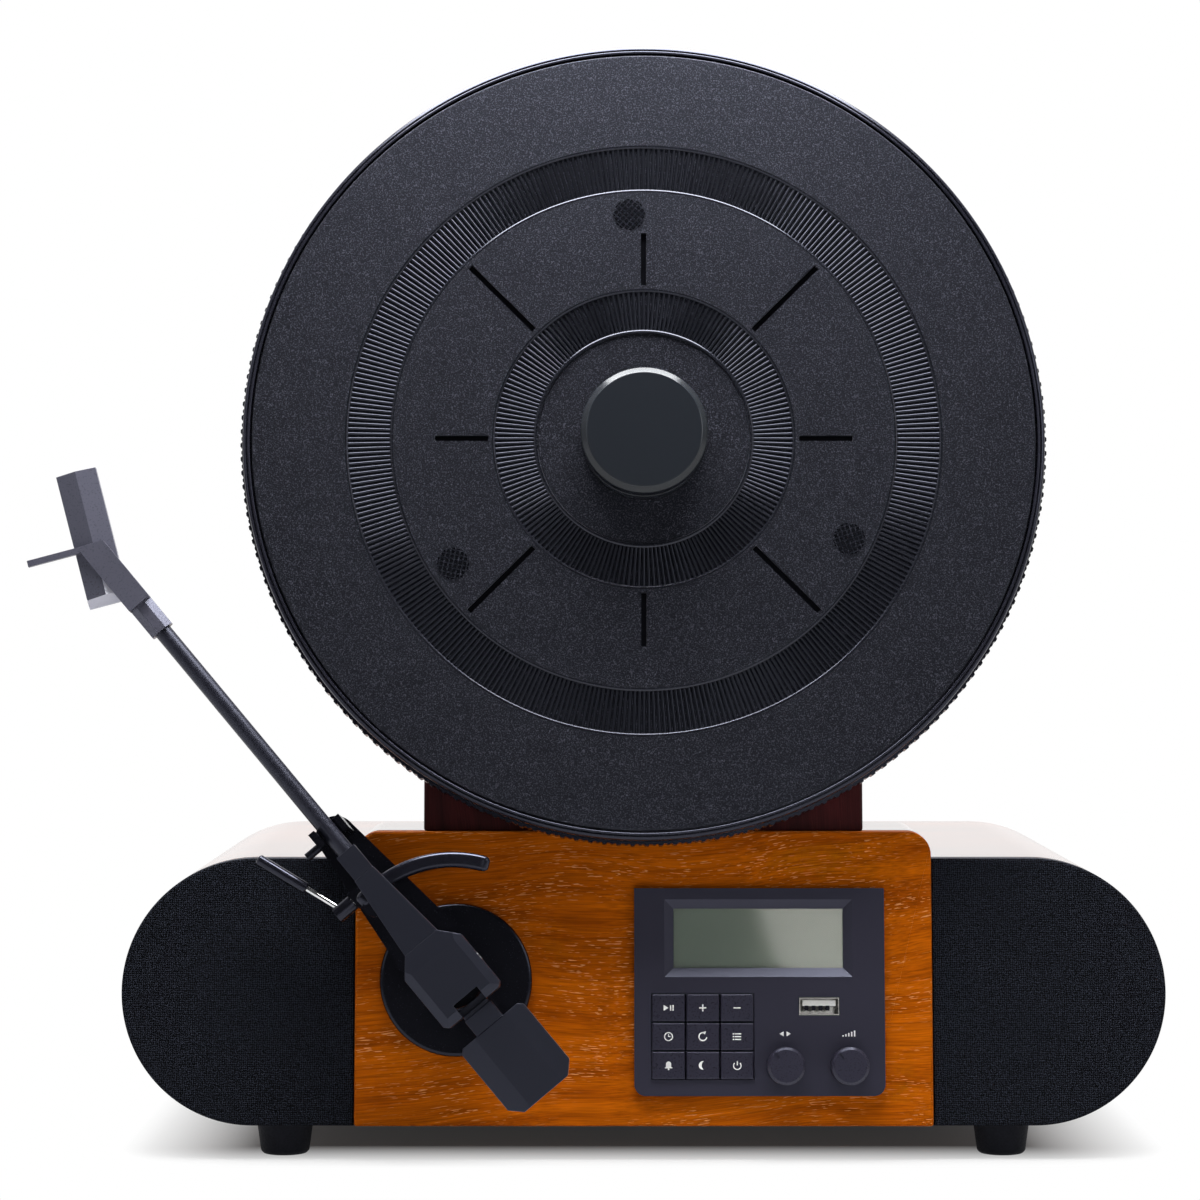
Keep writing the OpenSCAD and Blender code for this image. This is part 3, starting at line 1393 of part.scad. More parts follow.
module main_board() {
  floor_z = foot_h + shell_t;
  y0 = back_face - back_t - 2 * screw_inset - main_board_d;
  color("#20503a") translate([-main_board_w / 2, y0, floor_z]) {
    translate([0, 0, standoff_h]) cube([main_board_w, main_board_d, board_t]);
    for (x = [standoff_d, main_board_w - standoff_d], y = [standoff_d, main_board_d - standoff_d])
      translate([x, y, 0]) cylinder(d = standoff_d, h = standoff_h + board_t / 2);
    translate([main_board_w / 4, main_board_d / 2, standoff_h])
      cube([main_board_w / 4, standoff_d, 4 * standoff_h]);
    for (i = [5 : 7]) translate([i * main_board_w / 8, main_board_d / 3, standoff_h])
      cylinder(d = 3 / 2 * standoff_d, h = 3 * standoff_h);
  }
}

// Power inlet and line-out jacks, which share the back board
module rear_jacks() {
  z = foot_h + jacks_z;
  lip = 1.5;
  jack_tail = 2;
  inlet_body = inlet_bore_len + 2 * lip;
  plate_w = jack_pitch + jack_d + 2 * jack_border;
  plate_h = jack_d + 2 * jack_border;
  color("#222226") {
    translate([inlet_x, back_face, z]) rotate([90, 0, 0]) {
      difference() {
        union() {
          cylinder(d = inlet_d, h = inlet_body);
          translate([0, 0, -lip]) cylinder(d = inlet_d + 2 * lip, h = lip);
        }
        translate([0, 0, -lip - cut]) cylinder(d = inlet_bore_d, h = inlet_bore_len + lip + cut);
      }
      cylinder(d = inlet_pin_d, h = inlet_body - cut);
    }
    translate([jacks_x, back_face, z]) {
      translate([-plate_w / 2, 0, -plate_h / 2]) cube([plate_w, jack_plate_t, plate_h]);
      for (side = [-1, 1]) translate([side * jack_pitch / 2, 0, 0]) rotate([-90, 0, 0]) difference() {
        translate([0, 0, -back_t - jack_tail])
          cylinder(d = jack_d, h = back_t + jack_tail + jack_plate_t + jack_len);
        translate([0, 0, jack_plate_t]) cylinder(d = jack_hole_d, h = 2 * jack_len);
      }
    }
  }
}

module placed() {
  translate([-outline_mid_x, -outline_mid_y, 0]) children();
}

placed() cabinet_shell();
placed() centre_block();
placed() front_panel();
placed() grille_frame(-1);  // left_grille_frame
placed() grille_frame(1);  // right_grille_frame
placed() grille_cloth(-1);  // left_grille_cloth
placed() grille_cloth(1);  // right_grille_cloth
placed() baffle_boards();
placed() speaker(-1);  // left_speaker
placed() speaker(1);  // right_speaker
placed() cone(-1);  // left_cone
placed() cone(1);  // right_cone
placed() back_board();
placed() case_screws();
placed() feet();
placed() upright_housing();
placed() upright_rear_cover();
placed() drive_motor();
placed() motor_pulley();
placed() drive_belt();
placed() spindle_bearing();
placed() spindle();
placed() platter();
placed() platter_rim();
placed() platter_mat();
placed() mat_pads();
placed() record_clamp();
placed() arm_base();
placed() arm_bracket();
placed() arm_rest();
placed() arm_yoke();
placed() lift_pins();
placed() arm_housing();
placed() arm_sleeve();
placed() arm_tube();
placed() headshell();
placed() cartridge();
placed() stylus();
placed() counterweight();
placed() cue_lever();
placed() cue_lever_grip();
placed() cue_lift_bar();
placed() control_bezel();
placed() display_window();
placed() display_panel();
placed() control_board();
for (index = [0 : key_cols * key_rows - 1])
  placed() key(index);
placed() knob(tune_u);  // tune_knob
placed() knob(volume_u);  // volume_knob
placed() port_socket();
placed() main_board();
placed() rear_jacks();
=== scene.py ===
"""An upright record player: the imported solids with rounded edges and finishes, and modelled pieces.

Modelled here are the platter, its mat with ribs and rolled edges, the bar of the cueing lift, the
pale plate on the head's end, the cue lever's barrel, the speaker cloths, the printed signs and the
inside of the data port. Lengths in tables, tests and profiles are millimetres, and everything is
placed in metres in the frame of the solids.
"""
import json
import math

import bmesh
import bpy
from mathutils import Matrix, Vector


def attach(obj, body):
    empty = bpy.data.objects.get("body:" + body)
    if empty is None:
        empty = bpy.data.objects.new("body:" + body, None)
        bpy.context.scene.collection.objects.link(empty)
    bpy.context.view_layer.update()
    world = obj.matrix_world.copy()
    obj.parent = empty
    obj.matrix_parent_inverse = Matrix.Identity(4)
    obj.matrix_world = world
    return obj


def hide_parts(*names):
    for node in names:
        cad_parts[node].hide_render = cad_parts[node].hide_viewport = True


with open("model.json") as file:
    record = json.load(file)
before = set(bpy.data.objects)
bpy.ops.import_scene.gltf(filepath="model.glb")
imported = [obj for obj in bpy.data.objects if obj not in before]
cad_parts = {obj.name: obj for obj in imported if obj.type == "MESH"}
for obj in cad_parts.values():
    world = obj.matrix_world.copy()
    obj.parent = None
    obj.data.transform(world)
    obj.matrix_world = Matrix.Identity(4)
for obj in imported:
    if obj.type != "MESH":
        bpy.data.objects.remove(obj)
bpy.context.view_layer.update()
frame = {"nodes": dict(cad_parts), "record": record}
solids = frame["nodes"]
body_of = {node: body for body, nodes in frame["record"]["behaviour"]["bodies"].items()
           for node in nodes}

MM = 0.001
FULL_TURN = 2 * math.pi

# The front leans back. FRONT is on the panel's face at its lower middle: X to the right, Y up the
# panel and Z out of it. SPINDLE and ARM stand on it, at the platter's axis and at the arm's pivot
LEAN = math.radians(6.5)
BASE_MIDDLE = Vector((0.015, 0.0173, 0))
FRONT = (Matrix.Translation(BASE_MIDDLE + Vector((0, -0.1125, 0.012)))
         @ Matrix.Rotation(math.pi / 2 - LEAN, 4, "X"))
SPINDLE = FRONT @ Matrix.Translation((0, 0.237456, 0))
ARM = (FRONT @ Matrix.Translation((-65.3 * MM, 0.0505, 0))
       @ Matrix.Rotation(math.radians(130), 4, "Z"))

# The shell's section: from its middle to the axis of an end, the end's radius, the axis above the floor
SHELL_END, SHELL_RADIUS, SHELL_AXIS = 136.0, 46.0, 58.0

# Heights over the spindle's foot: the mat's underside, its sunk middle and the floor of its ribs
MAT_SEAT, MAT_SUNK, RIB_FLOOR = 21.0, 23.2, 22.8
ROUND = 240  # faces round a turned piece

# The bezel's lower left corner on the panel, and the heights of its face and of the keys' faces
BEZEL = (-3.3, 10.5)
BEZEL_FACE, KEY_FACE = 2.5, 3.4


# Mesh tools


def deselect():
    bpy.ops.object.select_all(action="DESELECT")


def only(piece):
    """Selects one piece and makes it active."""
    deselect()
    piece.select_set(True)
    bpy.context.view_layer.objects.active = piece


def named(name):
    """The object that was just added, under its own name."""
    piece = bpy.context.object
    piece.name = name
    return piece


def edit(mode):
    bpy.ops.object.mode_set(mode="EDIT")
    bpy.ops.mesh.select_mode(type=mode)


def done():
    bpy.ops.object.mode_set(mode="OBJECT")


def select_where(piece, test, kind="faces"):
    """Selects the faces, edges or vertices whose middle, in millimetres, passes the test."""
    mesh = bmesh.from_edit_mesh(piece.data)
    bpy.ops.mesh.select_all(action="DESELECT")
    for item in getattr(mesh, kind):
        points = [item.co] if kind == "verts" else [v.co for v in item.verts]
        item.select_set(test(sum(points, Vector()) / len(points) / MM))
    mesh.select_flush_mode()
    bmesh.update_edit_mesh(piece.data)


def apply(piece, modifier):
    only(piece)
    bpy.ops.object.modifier_apply(modifier=modifier.name)


def thicken(piece, thickness, offset):
    """Gives a sheet a thickness in millimetres."""
    layer = piece.modifiers.new("thickness", "SOLIDIFY")
    layer.thickness = thickness * MM
    layer.offset = offset
    apply(piece, layer)


def finish_mesh(piece, width=0.0, angle=35, smooth=40):
    """Rounds edges sharper than an angle by a width in millimetres, and shades the rest smooth."""
    only(piece)
    bpy.ops.object.shade_smooth_by_angle(angle=math.radians(smooth))
    if width:
        rounding = piece.modifiers.new("rounding", "BEVEL")
        rounding.width = width * MM
        rounding.segments = 2
        rounding.limit_method = "ANGLE"
        rounding.angle_limit = math.radians(angle)
        rounding.miter_outer = "MITER_ARC"
        apply(piece, rounding)
        bpy.ops.object.shade_smooth_by_angle(angle=math.radians(smooth))
    faces = piece.modifiers.new("flat faces", "WEIGHTED_NORMAL")
    faces.keep_sharp = True
    apply(piece, faces)
    return piece


def copied(node):
    """A merged copy of a solid's mesh, which stands for the solid."""
    piece = bpy.data.objects.new(node + "_finished", solids[node].data.copy())
    bpy.context.collection.objects.link(piece)
    only(piece)
    bpy.ops.mesh.customdata_custom_splitnormals_clear()
    edit("VERT")
    bpy.ops.mesh.select_all(action="SELECT")
    bpy.ops.mesh.remove_doubles(threshold=2e-6)
    bpy.ops.mesh.dissolve_limited(angle_limit=math.radians(0.6))
    done()
    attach(piece, body_of[node])
    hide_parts(node)
    return piece


# For pieces whose faces meet at blunt angles
CREASED = {"angle": 14, "smooth": 16}


# Finishes


def linear(code):
    """An sRGB hex colour as linear red, green, blue and alpha."""
    parts = [int(code[i:i + 2], 16) / 255 for i in (1, 3, 5)]
    return tuple(c / 12.92 if c <= 0.04045 else ((c + 0.055) / 1.055) ** 2.4 for c in parts) + (1.0,)


def add(tree, kind, links=None, **settings):
    """Adds a node, sets its own values and fills or links its inputs."""
    node = tree.nodes.new(kind)
    for name, value in settings.items():
        setattr(node, name, value)
    for socket, value in (links or {}).items():
        if isinstance(value, bpy.types.NodeSocket):
            tree.links.new(value, node.inputs[socket])
        else:
            node.inputs[socket].default_value = value
    return node


def finish(name, roughness, metallic=0.0, ior=1.5, coat=0.0, coat_roughness=0.04, gloss=0.5,
           sheen="#ffffff"):
    """A new material with its shader's plain numbers set. Sheen is the tint of its reflections."""
    material = bpy.data.materials.new(name)
    material.use_nodes = True
    tree = material.node_tree
    shader = tree.nodes["Principled BSDF"]
    shader.inputs["Roughness"].default_value = roughness
    shader.inputs["Metallic"].default_value = metallic
    shader.inputs["Specular IOR Level"].default_value = gloss
    shader.inputs["Specular Tint"].default_value = linear(sheen)
    if not metallic:
        shader.inputs["IOR"].default_value = ior
    shader.inputs["Coat Weight"].default_value = coat
    shader.inputs["Coat Roughness"].default_value = coat_roughness
    place = add(tree, "ShaderNodeTexCoord").outputs["Object"]
    return material, tree, shader, place


def math_node(tree, operation, *values):
    """The result of one Math node."""
    return add(tree, "ShaderNodeMath", dict(enumerate(values)), operation=operation).outputs[0]


def vector_node(tree, operation, *values):
    """The vector result of one Vector Math node."""
    return add(tree, "ShaderNodeVectorMath", dict(enumerate(values)), operation=operation).outputs[0]


def scaled(tree, vector, factor):
    """A vector or colour times a number."""
    return add(tree, "ShaderNodeVectorMath", {0: vector, "Scale": factor}, operation="SCALE").outputs[0]


def noise(tree, place, scale, detail=2.0, **more):
    """The level of a noise of a given number of cells in a metre."""
    links = {"Vector": place, "Scale": scale, "Detail": detail, **more}
    return add(tree, "ShaderNodeTexNoise", links).outputs["Fac"]


def spread(tree, value, low, high, to_low=0.0, to_high=1.0):
    """Maps a range of values to another, and holds it at the ends."""
    links = {"Value": value, "From Min": low, "From Max": high, "To Min": to_low, "To Max": to_high}
    return add(tree, "ShaderNodeMapRange", links).outputs[0]


def raise_grain(tree, shader, height, strength, distance):
    """Lets a height in metres break the light on a surface."""
    bump = add(tree, "ShaderNodeBump", {"Height": height, "Strength": strength, "Distance": distance})
    tree.links.new(bump.outputs[0], shader.inputs["Normal"])


def unrolled(tree, place):
    """A place on the bent shell, laid out flat: the way round its section, and the depth."""
    part = add(tree, "ShaderNodeSeparateXYZ", {0: place}).outputs
    end = SHELL_END * MM
    side = math_node(tree, "SUBTRACT", part["X"], BASE_MIDDLE.x)
    flat = add(tree, "ShaderNodeClamp", {"Value": side, "Min": -end, "Max": end}).outputs[0]
    past = math_node(tree, "SUBTRACT", side, flat)
    rise = math_node(tree, "SUBTRACT", part["Z"], SHELL_AXIS * MM)
    angle = math_node(tree, "ARCTAN2", past, rise)
    bent = math_node(tree, "MULTIPLY_ADD", angle, SHELL_RADIUS * MM, flat)
    return add(tree, "ShaderNodeCombineXYZ", {"X": bent, "Y": part["Y"]}).outputs[0]


# Colour sockets of a Mix node
MIX_A, MIX_B, MIX_RESULT = 6, 7, 2

# Wood's layers: their length along the grain, their width across it, and their detail
GRAIN = {"band": (90, 5, 2.0), "streak": (22, 0.5, 2.0), "pore": (4.5, 0.4, 1.0), "patch": (30, 9, 1.0)}
SWAY_LENGTH, SWAY = 0.09, 0.016


def wood(name, dark, light, pore, turn, roughness, coat, fleck, gloss=0.5, bent=False):
    """Stained open-pored wood: soft bands along the grain, fine streaks, and pale pores in patches.
    The grain runs along X after the turn, and sways a little. Bent wood follows the shell round."""
    material, tree, shader, place = finish(name, roughness, coat=coat, coat_roughness=0.12, gloss=gloss)
    if bent:
        place = unrolled(tree, place)
    place = add(tree, "ShaderNodeMapping", {"Vector": place, "Rotation": turn}).outputs["Vector"]
    drift = add(tree, "ShaderNodeTexNoise", {"Vector": place, "Scale": 1 / SWAY_LENGTH, "Detail": 1.0})
    sway = vector_node(tree, "SUBTRACT", drift.outputs["Color"], (0.5, 0.5, 0.5))
    sway = vector_node(tree, "MULTIPLY", sway, (0.0, SWAY, SWAY))
    place = vector_node(tree, "ADD", place, sway)
    layers = {}
    for key, (along, across, detail) in GRAIN.items():
        scale = (1000 / along, 1000 / across, 1000 / across)
        cells = add(tree, "ShaderNodeMapping", {"Vector": place, "Scale": scale}).outputs["Vector"]
        layers[key] = noise(tree, cells, 1.0, detail)
    tone = spread(tree, layers["band"], 0.32, 0.68)
    base = add(tree, "ShaderNodeMix", {"Factor": tone, MIX_A: linear(dark), MIX_B: linear(light)},
               data_type="RGBA").outputs[MIX_RESULT]
    streaked = scaled(tree, base, spread(tree, layers["streak"], 0.3, 0.7, 0.66, 1.2))
    pores = math_node(tree, "MULTIPLY", spread(tree, layers["pore"], 0.63, 0.68),
                      spread(tree, layers["patch"], 0.4, 0.6))
    share = math_node(tree, "MULTIPLY", pores, fleck)
    colour = add(tree, "ShaderNodeMix", {"Factor": share, MIX_A: streaked, MIX_B: linear(pore)},
                 data_type="RGBA").outputs[MIX_RESULT]
    tree.links.new(colour, shader.inputs["Base Color"])
    raise_grain(tree, shader, math_node(tree, "SUBTRACT", layers["streak"], pores), 0.25, 0.1 * MM)
    return material


# A cool tint for the reflections of black rubber and plastic
COOL = "#dde2ff"


def moulding(name, colour, roughness, grain, depth, vary=0.12, coat=0.0, gloss=0.5, sheen=COOL):
    """Moulded plastic or rubber with a sparked surface: a grain of the given millimetres, and its
    depth in millimetres, which breaks the gloss and mottles the tone a little."""
    material, tree, shader, place = finish(name, roughness, coat=coat, gloss=gloss, sheen=sheen)
    speck = noise(tree, place, 1000 / grain)
    both = math_node(tree, "ADD", speck, noise(tree, place, 40.0))
    tint = scaled(tree, linear(colour)[:3], spread(tree, both, 0.6, 1.4, 1 - vary, 1 + vary))
    tree.links.new(tint, shader.inputs["Base Color"])
    matt = spread(tree, speck, 0.3, 0.7, roughness * 0.85, min(1.0, roughness * 1.15))
    tree.links.new(matt, shader.inputs["Roughness"])
    raise_grain(tree, shader, speck, 0.6, depth * MM)
    return material


def two_tones(tree, value, dark_end, light_end):
    """A ramp between two colours, each given as its place on the ramp and its code."""
    ramp = add(tree, "ShaderNodeValToRGB", {"Fac": value})
    for stop, (position, code) in zip(ramp.color_ramp.elements, (dark_end, light_end)):
        stop.position, stop.color = position, linear(code)
    return ramp.outputs["Color"]


def sand_grained(name, dark, light, grain, depth, roughness, gloss):
    """Moulded rubber with a sand-blasted face: fine grains of two tones, each as large as the grain
    in millimetres, which sparkle where they face the light. Real grains are a little smaller."""
    material, tree, shader, place = finish(name, roughness, gloss=gloss, sheen=COOL)
    sand = noise(tree, place, 1000 / grain, 3.0, Roughness=0.7)
    tree.links.new(two_tones(tree, sand, (0.53, dark), (0.72, light)), shader.inputs["Base Color"])
    matt = spread(tree, sand, 0.36, 0.68, roughness + 0.1, roughness - 0.1)
    tree.links.new(matt, shader.inputs["Roughness"])
    raise_grain(tree, shader, sand, 0.6, depth * MM)
    return material


def metal(name, colour, roughness, turn):
    """Turned or rolled metal: drawn lines of 0.5 by 40 mm, which vary the tone and the highlight."""
    material, tree, shader, place = finish(name, roughness, metallic=1.0)
    lay = add(tree, "ShaderNodeMapping", {"Vector": place, "Rotation": turn,
                                          "Scale": (1000 / 40, 1000 / 0.5, 1000 / 0.5)})
    line = noise(tree, lay.outputs["Vector"], 1.0)
    tint = scaled(tree, linear(colour)[:3], spread(tree, line, 0.3, 0.7, 0.88, 1.06))
    tree.links.new(tint, shader.inputs["Base Color"])
    matt = spread(tree, line, 0.0, 1.0, roughness * 0.7, roughness * 1.3)
    tree.links.new(matt, shader.inputs["Roughness"])
    return material


def speaker_cloth():
    """Woven speaker cloth: black threads 0.75 mm apart, drawn coarser than real ones so that they
    show, with an uneven yarn that breaks up the weave and sparkles a little."""
    material, tree, shader, place = finish("woven_speaker_cloth", 0.9, gloss=0.06)
    flat = add(tree, "ShaderNodeMapping", {"Vector": place, "Rotation": (LEAN - math.pi / 2, 0, 0)})
    flat = flat.outputs["Vector"]
    bands = {"Vector": flat, "Scale": 420.0, "Distortion": 6.0, "Detail": 3.0, "Detail Scale": 2.0}
    threads = [add(tree, "ShaderNodeTexWave", bands, wave_type="BANDS", bands_direction=axis)
               for axis in ("X", "Y")]
    weave = math_node(tree, "ADD", *(wave.outputs["Fac"] for wave in threads))
    both = math_node(tree, "MULTIPLY", weave, noise(tree, flat, 1900.0))
    colour = two_tones(tree, both, (0.3, "#020203"), (0.85, "#262932"))
    tree.links.new(colour, shader.inputs["Base Color"])
    raise_grain(tree, shader, both, 0.7, 0.3 * MM)
    return material


def display_glass():
    """Clear acrylic window: nearly all light goes through, with a sharp reflection and faint dust."""
    material, tree, shader, place = finish("clear_acrylic", 0.03, ior=1.49)
    shader.inputs["Base Color"].default_value = linear("#dfe6e2")
    dust = noise(tree, place, 300.0, 3.0)
    tree.links.new(spread(tree, dust, 0.0, 1.0, 0.01, 0.06), shader.inputs["Roughness"])
    tree.links.new(spread(tree, dust, 0.0, 1.0, 0.02, 0.04), shader.inputs["Alpha"])
    return material


# Directions of the grain: along the panel with a slight rise to the right, up the panel, along X
ACROSS = (LEAN - math.pi / 2, 0, -math.radians(5))
UPWARDS = (LEAN - math.pi / 2, 0, math.pi / 2)
LEVEL = (0, 0, 0)

# Woods: an orange veneer with pale flecks, a brown shell under clear gloss, a dark red upright
veneer = wood("stained_ash_veneer", "#904202", "#b35904", "#d8965c", ACROSS, 0.5, 0.0, 0.75,
              gloss=0.03)
lacquered = wood("lacquered_ash_shell", "#3f1a0c", "#743a18", "#a87a5c", LEVEL, 0.3, 1.0, 0.4,
                 bent=True)
mahogany = wood("stained_mahogany_upright", "#2e0b0d", "#401214", "#5c2a22", UPWARDS, 0.5, 0.0, 0.25,
                gloss=0.15)
fibreboard = moulding("painted_fibreboard", "#1c1a19", 0.75, 1.2, 0.05, vary=0.2)
# The mat: sparkling lands, slots painted near black as painted shade, ribs with a sharp gleam, and
# smooth bright land edges
mat_rubber = sand_grained("sand_grained_mat_rubber", "#020203", "#5f616e", 0.44, 0.18, 0.34, 0.38)
# Near-black rubber on the slots' walls and floors: painted shade, darker than the mat's own tone
painted_slot_shade = moulding("near_black_slot_shade", "#030304", 0.4, 0.6, 0.002, vary=0.06, gloss=0.15)
rib_rubber = moulding("ribbed_mat_rubber", "#090a0e", 0.22, 0.6, 0.004, vary=0.08)
edge_rubber = moulding("polished_land_edge_rubber", "#121318", 0.24, 0.6, 0.001, vary=0.06, coat=0.3)
# Platter and arm: glossy black, a greyer clamp, satin arm faces, a lighter head with a pale end
platter_abs = moulding("gloss_moulded_abs", "#15151c", 0.24, 0.5, 0.006, vary=0.06)
clamp_abs = moulding("satin_turned_abs", "#1b1e23", 0.22, 0.4, 0.003, vary=0.05, sheen="#eef2f6")
arm_abs = moulding("satin_arm_abs", "#181920", 0.34, 0.6, 0.008, vary=0.1)
head_abs = moulding("satin_headshell_abs", "#4a4a55", 0.3, 0.6, 0.006, vary=0.08)
head_end_abs = moulding("pale_head_end_abs", "#b9b9c4", 0.4, 0.6, 0.004, vary=0.05)
tube_lacquer = moulding("black_lacquered_tube", "#101016", 0.22, 1.5, 0.001, vary=0.06)
satin_tube = moulding("satin_painted_tube", "#16161d", 0.38, 1.5, 0.001, vary=0.06)
base_abs = moulding("smooth_arm_base_abs", "#08080c", 0.24, 0.6, 0.002, vary=0.06, gloss=0.35)
stylus_abs = moulding("red_stylus_abs", "#a32a24", 0.35, 0.5, 0.01)
# Controls: a finely sparked bezel, satin keys, a grey-green display, white print and port tongue
bezel_abs = moulding("sparked_bezel_abs", "#25232e", 0.38, 0.5, 0.008, vary=0.1)
key_abs = moulding("satin_key_abs", "#23212c", 0.3, 0.5, 0.002, vary=0.06)
liquid_crystal = moulding("liquid_crystal_cell", "#586459", 0.07, 0.35, 0.0005, vary=0.03, coat=1.0,
                          sheen="#fff6e0")
white_ink = moulding("white_screen_ink", "#e4e4e2", 0.55, 0.3, 0.005, vary=0.04)
tongue_nylon = moulding("white_port_nylon", "#dcdcd8", 0.5, 0.5, 0.005, vary=0.05)
# Dull pieces below, behind and inside
foot_rubber = moulding("foot_rubber", "#0b0b0c", 0.7, 0.8, 0.03, vary=0.15, gloss=0.25)
belt_rubber = moulding("belt_rubber", "#1a1a1b", 0.6, 0.8, 0.02, vary=0.1)
frame_abs = moulding("black_frame_abs", "#121215", 0.6, 0.6, 0.02)
paper_cone = moulding("coated_paper_cone", "#1a1a1c", 0.7, 1.5, 0.05, vary=0.15)
circuit_resin = moulding("soldered_circuit_resin", "#1f4a30", 0.4, 2.0, 0.02, vary=0.25)
# Metals, from bright chrome to dull pressed steel
chrome = metal("chromed_lever_steel", "#e3e4e6", 0.16, LEVEL)
steel = metal("turned_spindle_steel", "#c9cbce", 0.26, LEVEL)
port_nickel = metal("nickel_port_shell", "#c4c3bf", 0.22, ACROSS)
zinc = metal("black_zinc_screw", "#3a3a3d", 0.4, LEVEL)
brass = metal("sintered_brass", "#b08d4a", 0.4, LEVEL)
basket_steel = metal("pressed_basket_steel", "#5c5d61", 0.45, LEVEL)
cloth = speaker_cloth()
acrylic = display_glass()


def paint(piece, material):
    """Gives a piece one finish."""
    piece.data.materials.clear()
    piece.data.materials.append(material)


def dress(piece, material):
    """Gives a piece one finish."""
    paint(piece, material)
    return piece


# Solids that keep their meshes, because little of them shows
for names, material in (
    (("left_grille_frame", "right_grille_frame"), frame_abs),
    (("baffle_boards",), fibreboard),
    (("left_speaker", "right_speaker", "drive_motor"), basket_steel),
    (("left_cone", "right_cone"), paper_cone),
    (("drive_belt",), belt_rubber),
    (("motor_pulley", "spindle_bearing"), brass),
    (("spindle", "lift_pins"), steel),
    (("platter_rim",), platter_abs),
    (("mat_pads",), rib_rubber),
    (("control_board", "main_board"), circuit_resin),
    (("display_panel",), liquid_crystal),
):
    for name in names:
        paint(solids[name], material)

# Solids with rounded edges: the node, its finish, its slot and the rounding in millimetres
KEYS = [f"button_{row}_{column}" for row in ("top", "middle", "bottom")
        for column in ("left", "middle", "right")]
for name, material, slot, width in (
    ("cabinet_shell", lacquered, "lacquered_wood", 0.8),
    ("centre_block", lacquered, "lacquered_wood", 0.8),
    ("front_panel", veneer, "panel_veneer", 0.8),
    ("upright_housing", mahogany, "upright_wood", 0.8),
    ("upright_rear_cover", fibreboard, "case_plastic", 0.5),
    ("back_board", fibreboard, "fibreboard", 0.4),
    ("case_screws", zinc, "screw_steel", 0.15),
    ("feet", foot_rubber, "foot_rubber", 0.4),
    ("record_clamp", clamp_abs, "clamp_plastic", 0.25),
    ("arm_base", base_abs, "arm_metal", 0.5),
    ("arm_bracket", base_abs, "arm_plastic", 0.45),
    ("arm_rest", base_abs, "arm_plastic", 0.35),
    ("arm_yoke", base_abs, "arm_metal", 0.25),
    ("arm_sleeve", arm_abs, "arm_plastic", 0.2),
    ("arm_tube", satin_tube, "arm_metal", 0.15),
    ("cartridge", arm_abs, "arm_plastic", 0.2),
    ("stylus", stylus_abs, "stylus_plastic", 0.1),
    ("cue_lever", chrome, "lever_chrome", 0.15),
    ("cue_lever_grip", tube_lacquer, "arm_plastic", 0.2),
    ("control_bezel", bezel_abs, "bezel_plastic", 0.22),
    ("tune_knob", key_abs, "knob_plastic", 0.45),
    ("volume_knob", key_abs, "knob_plastic", 0.45),
    ("port_socket", port_nickel, "port_steel", 0.08),
    ("rear_jacks", frame_abs, "case_plastic", 0.2),
    *((key, key_abs, "key_plastic", 0.14) for key in KEYS),
):
    edges = CREASED if name in ("arm_sleeve", "cartridge", "control_bezel") else {}
    dress(finish_mesh(copied(name), width, **edges), material)


# The faces of housing and paddle are nearly flat: their facets fall away by less than a millimetre
for name, low, top in (("arm_housing", 43.5, 47.0), ("counterweight", 41.0, 44.5)):
    faceted = copied(name)
    faceted.data.transform(ARM.inverted())
    only(faceted)
    edit("VERT")
    select_where(faceted, lambda p: p.z > low, "verts")
    bpy.ops.transform.resize(value=(1, 1, 0.3), center_override=(0, 0, top * MM))
    done()
    finish_mesh(faceted, 0.25, angle=20, smooth=4)
    faceted.data.transform(ARM)
    dress(faceted, arm_abs)

# The chamfer at the headshell's lower end is drawn out in steps, and a pale plate covers it
ALONG_HEAD = Vector((0.908, -0.419, 0))
head = copied("headshell")
head.data.transform(ARM.inverted())
only(head)
edit("VERT")
for low, high, step in ((4, 6, 1.5), (6, 10, 0.9), (10, 16, 2.0)):
    select_where(head, lambda p: (154 < p.dot(ALONG_HEAD) < 156 and p.z > 42.5
                                  and low < p.y < high), "verts")
    bpy.ops.transform.translate(value=ALONG_HEAD * step * MM)
bpy.ops.mesh.select_mode(type="FACE")
select_where(head, lambda p: 153.5 < p.dot(ALONG_HEAD) < 159 and p.z > 41.3 and p.y > 4.35)
bpy.ops.mesh.duplicate()
bpy.ops.mesh.separate(type="SELECTED")
done()
end_plate = [piece for piece in bpy.context.selected_objects if piece != head][0]
end_plate.name = "headshell_end_plate"
finish_mesh(head, 0.15, **CREASED)
head.data.transform(ARM)
dress(head, head_abs)
thicken(end_plate, 0.25, 1.0)
finish_mesh(end_plate, 0.08)
end_plate.data.transform(ARM)
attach(dress(end_plate, head_end_abs), body_of["headshell"])

# A black barrel round the lever's shaft, with a sunk face and rounded ends
BARREL_RADIUS, BARREL_LENGTH = 2.9, 7.5
deselect()
bpy.ops.mesh.primitive_cylinder_add(vertices=48, radius=BARREL_RADIUS * MM,
                                    depth=BARREL_LENGTH * MM, location=(0, 0, 0))
barrel = named("cue_barrel")
edit("FACE")
select_where(barrel, lambda p: p.z > BARREL_LENGTH / 2 - 0.05)
bpy.ops.mesh.inset(thickness=0.7 * MM, depth=0)
bpy.ops.mesh.inset(thickness=0.2 * MM, depth=-0.4 * MM)
done()
finish_mesh(barrel, 0.3)
barrel.data.transform(ARM @ Matrix.Translation((0.043, 0.0135, 0.0135))
                      @ Matrix.Rotation(-math.pi / 2, 4, "X"))
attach(dress(barrel, tube_lacquer), "cue_lever")

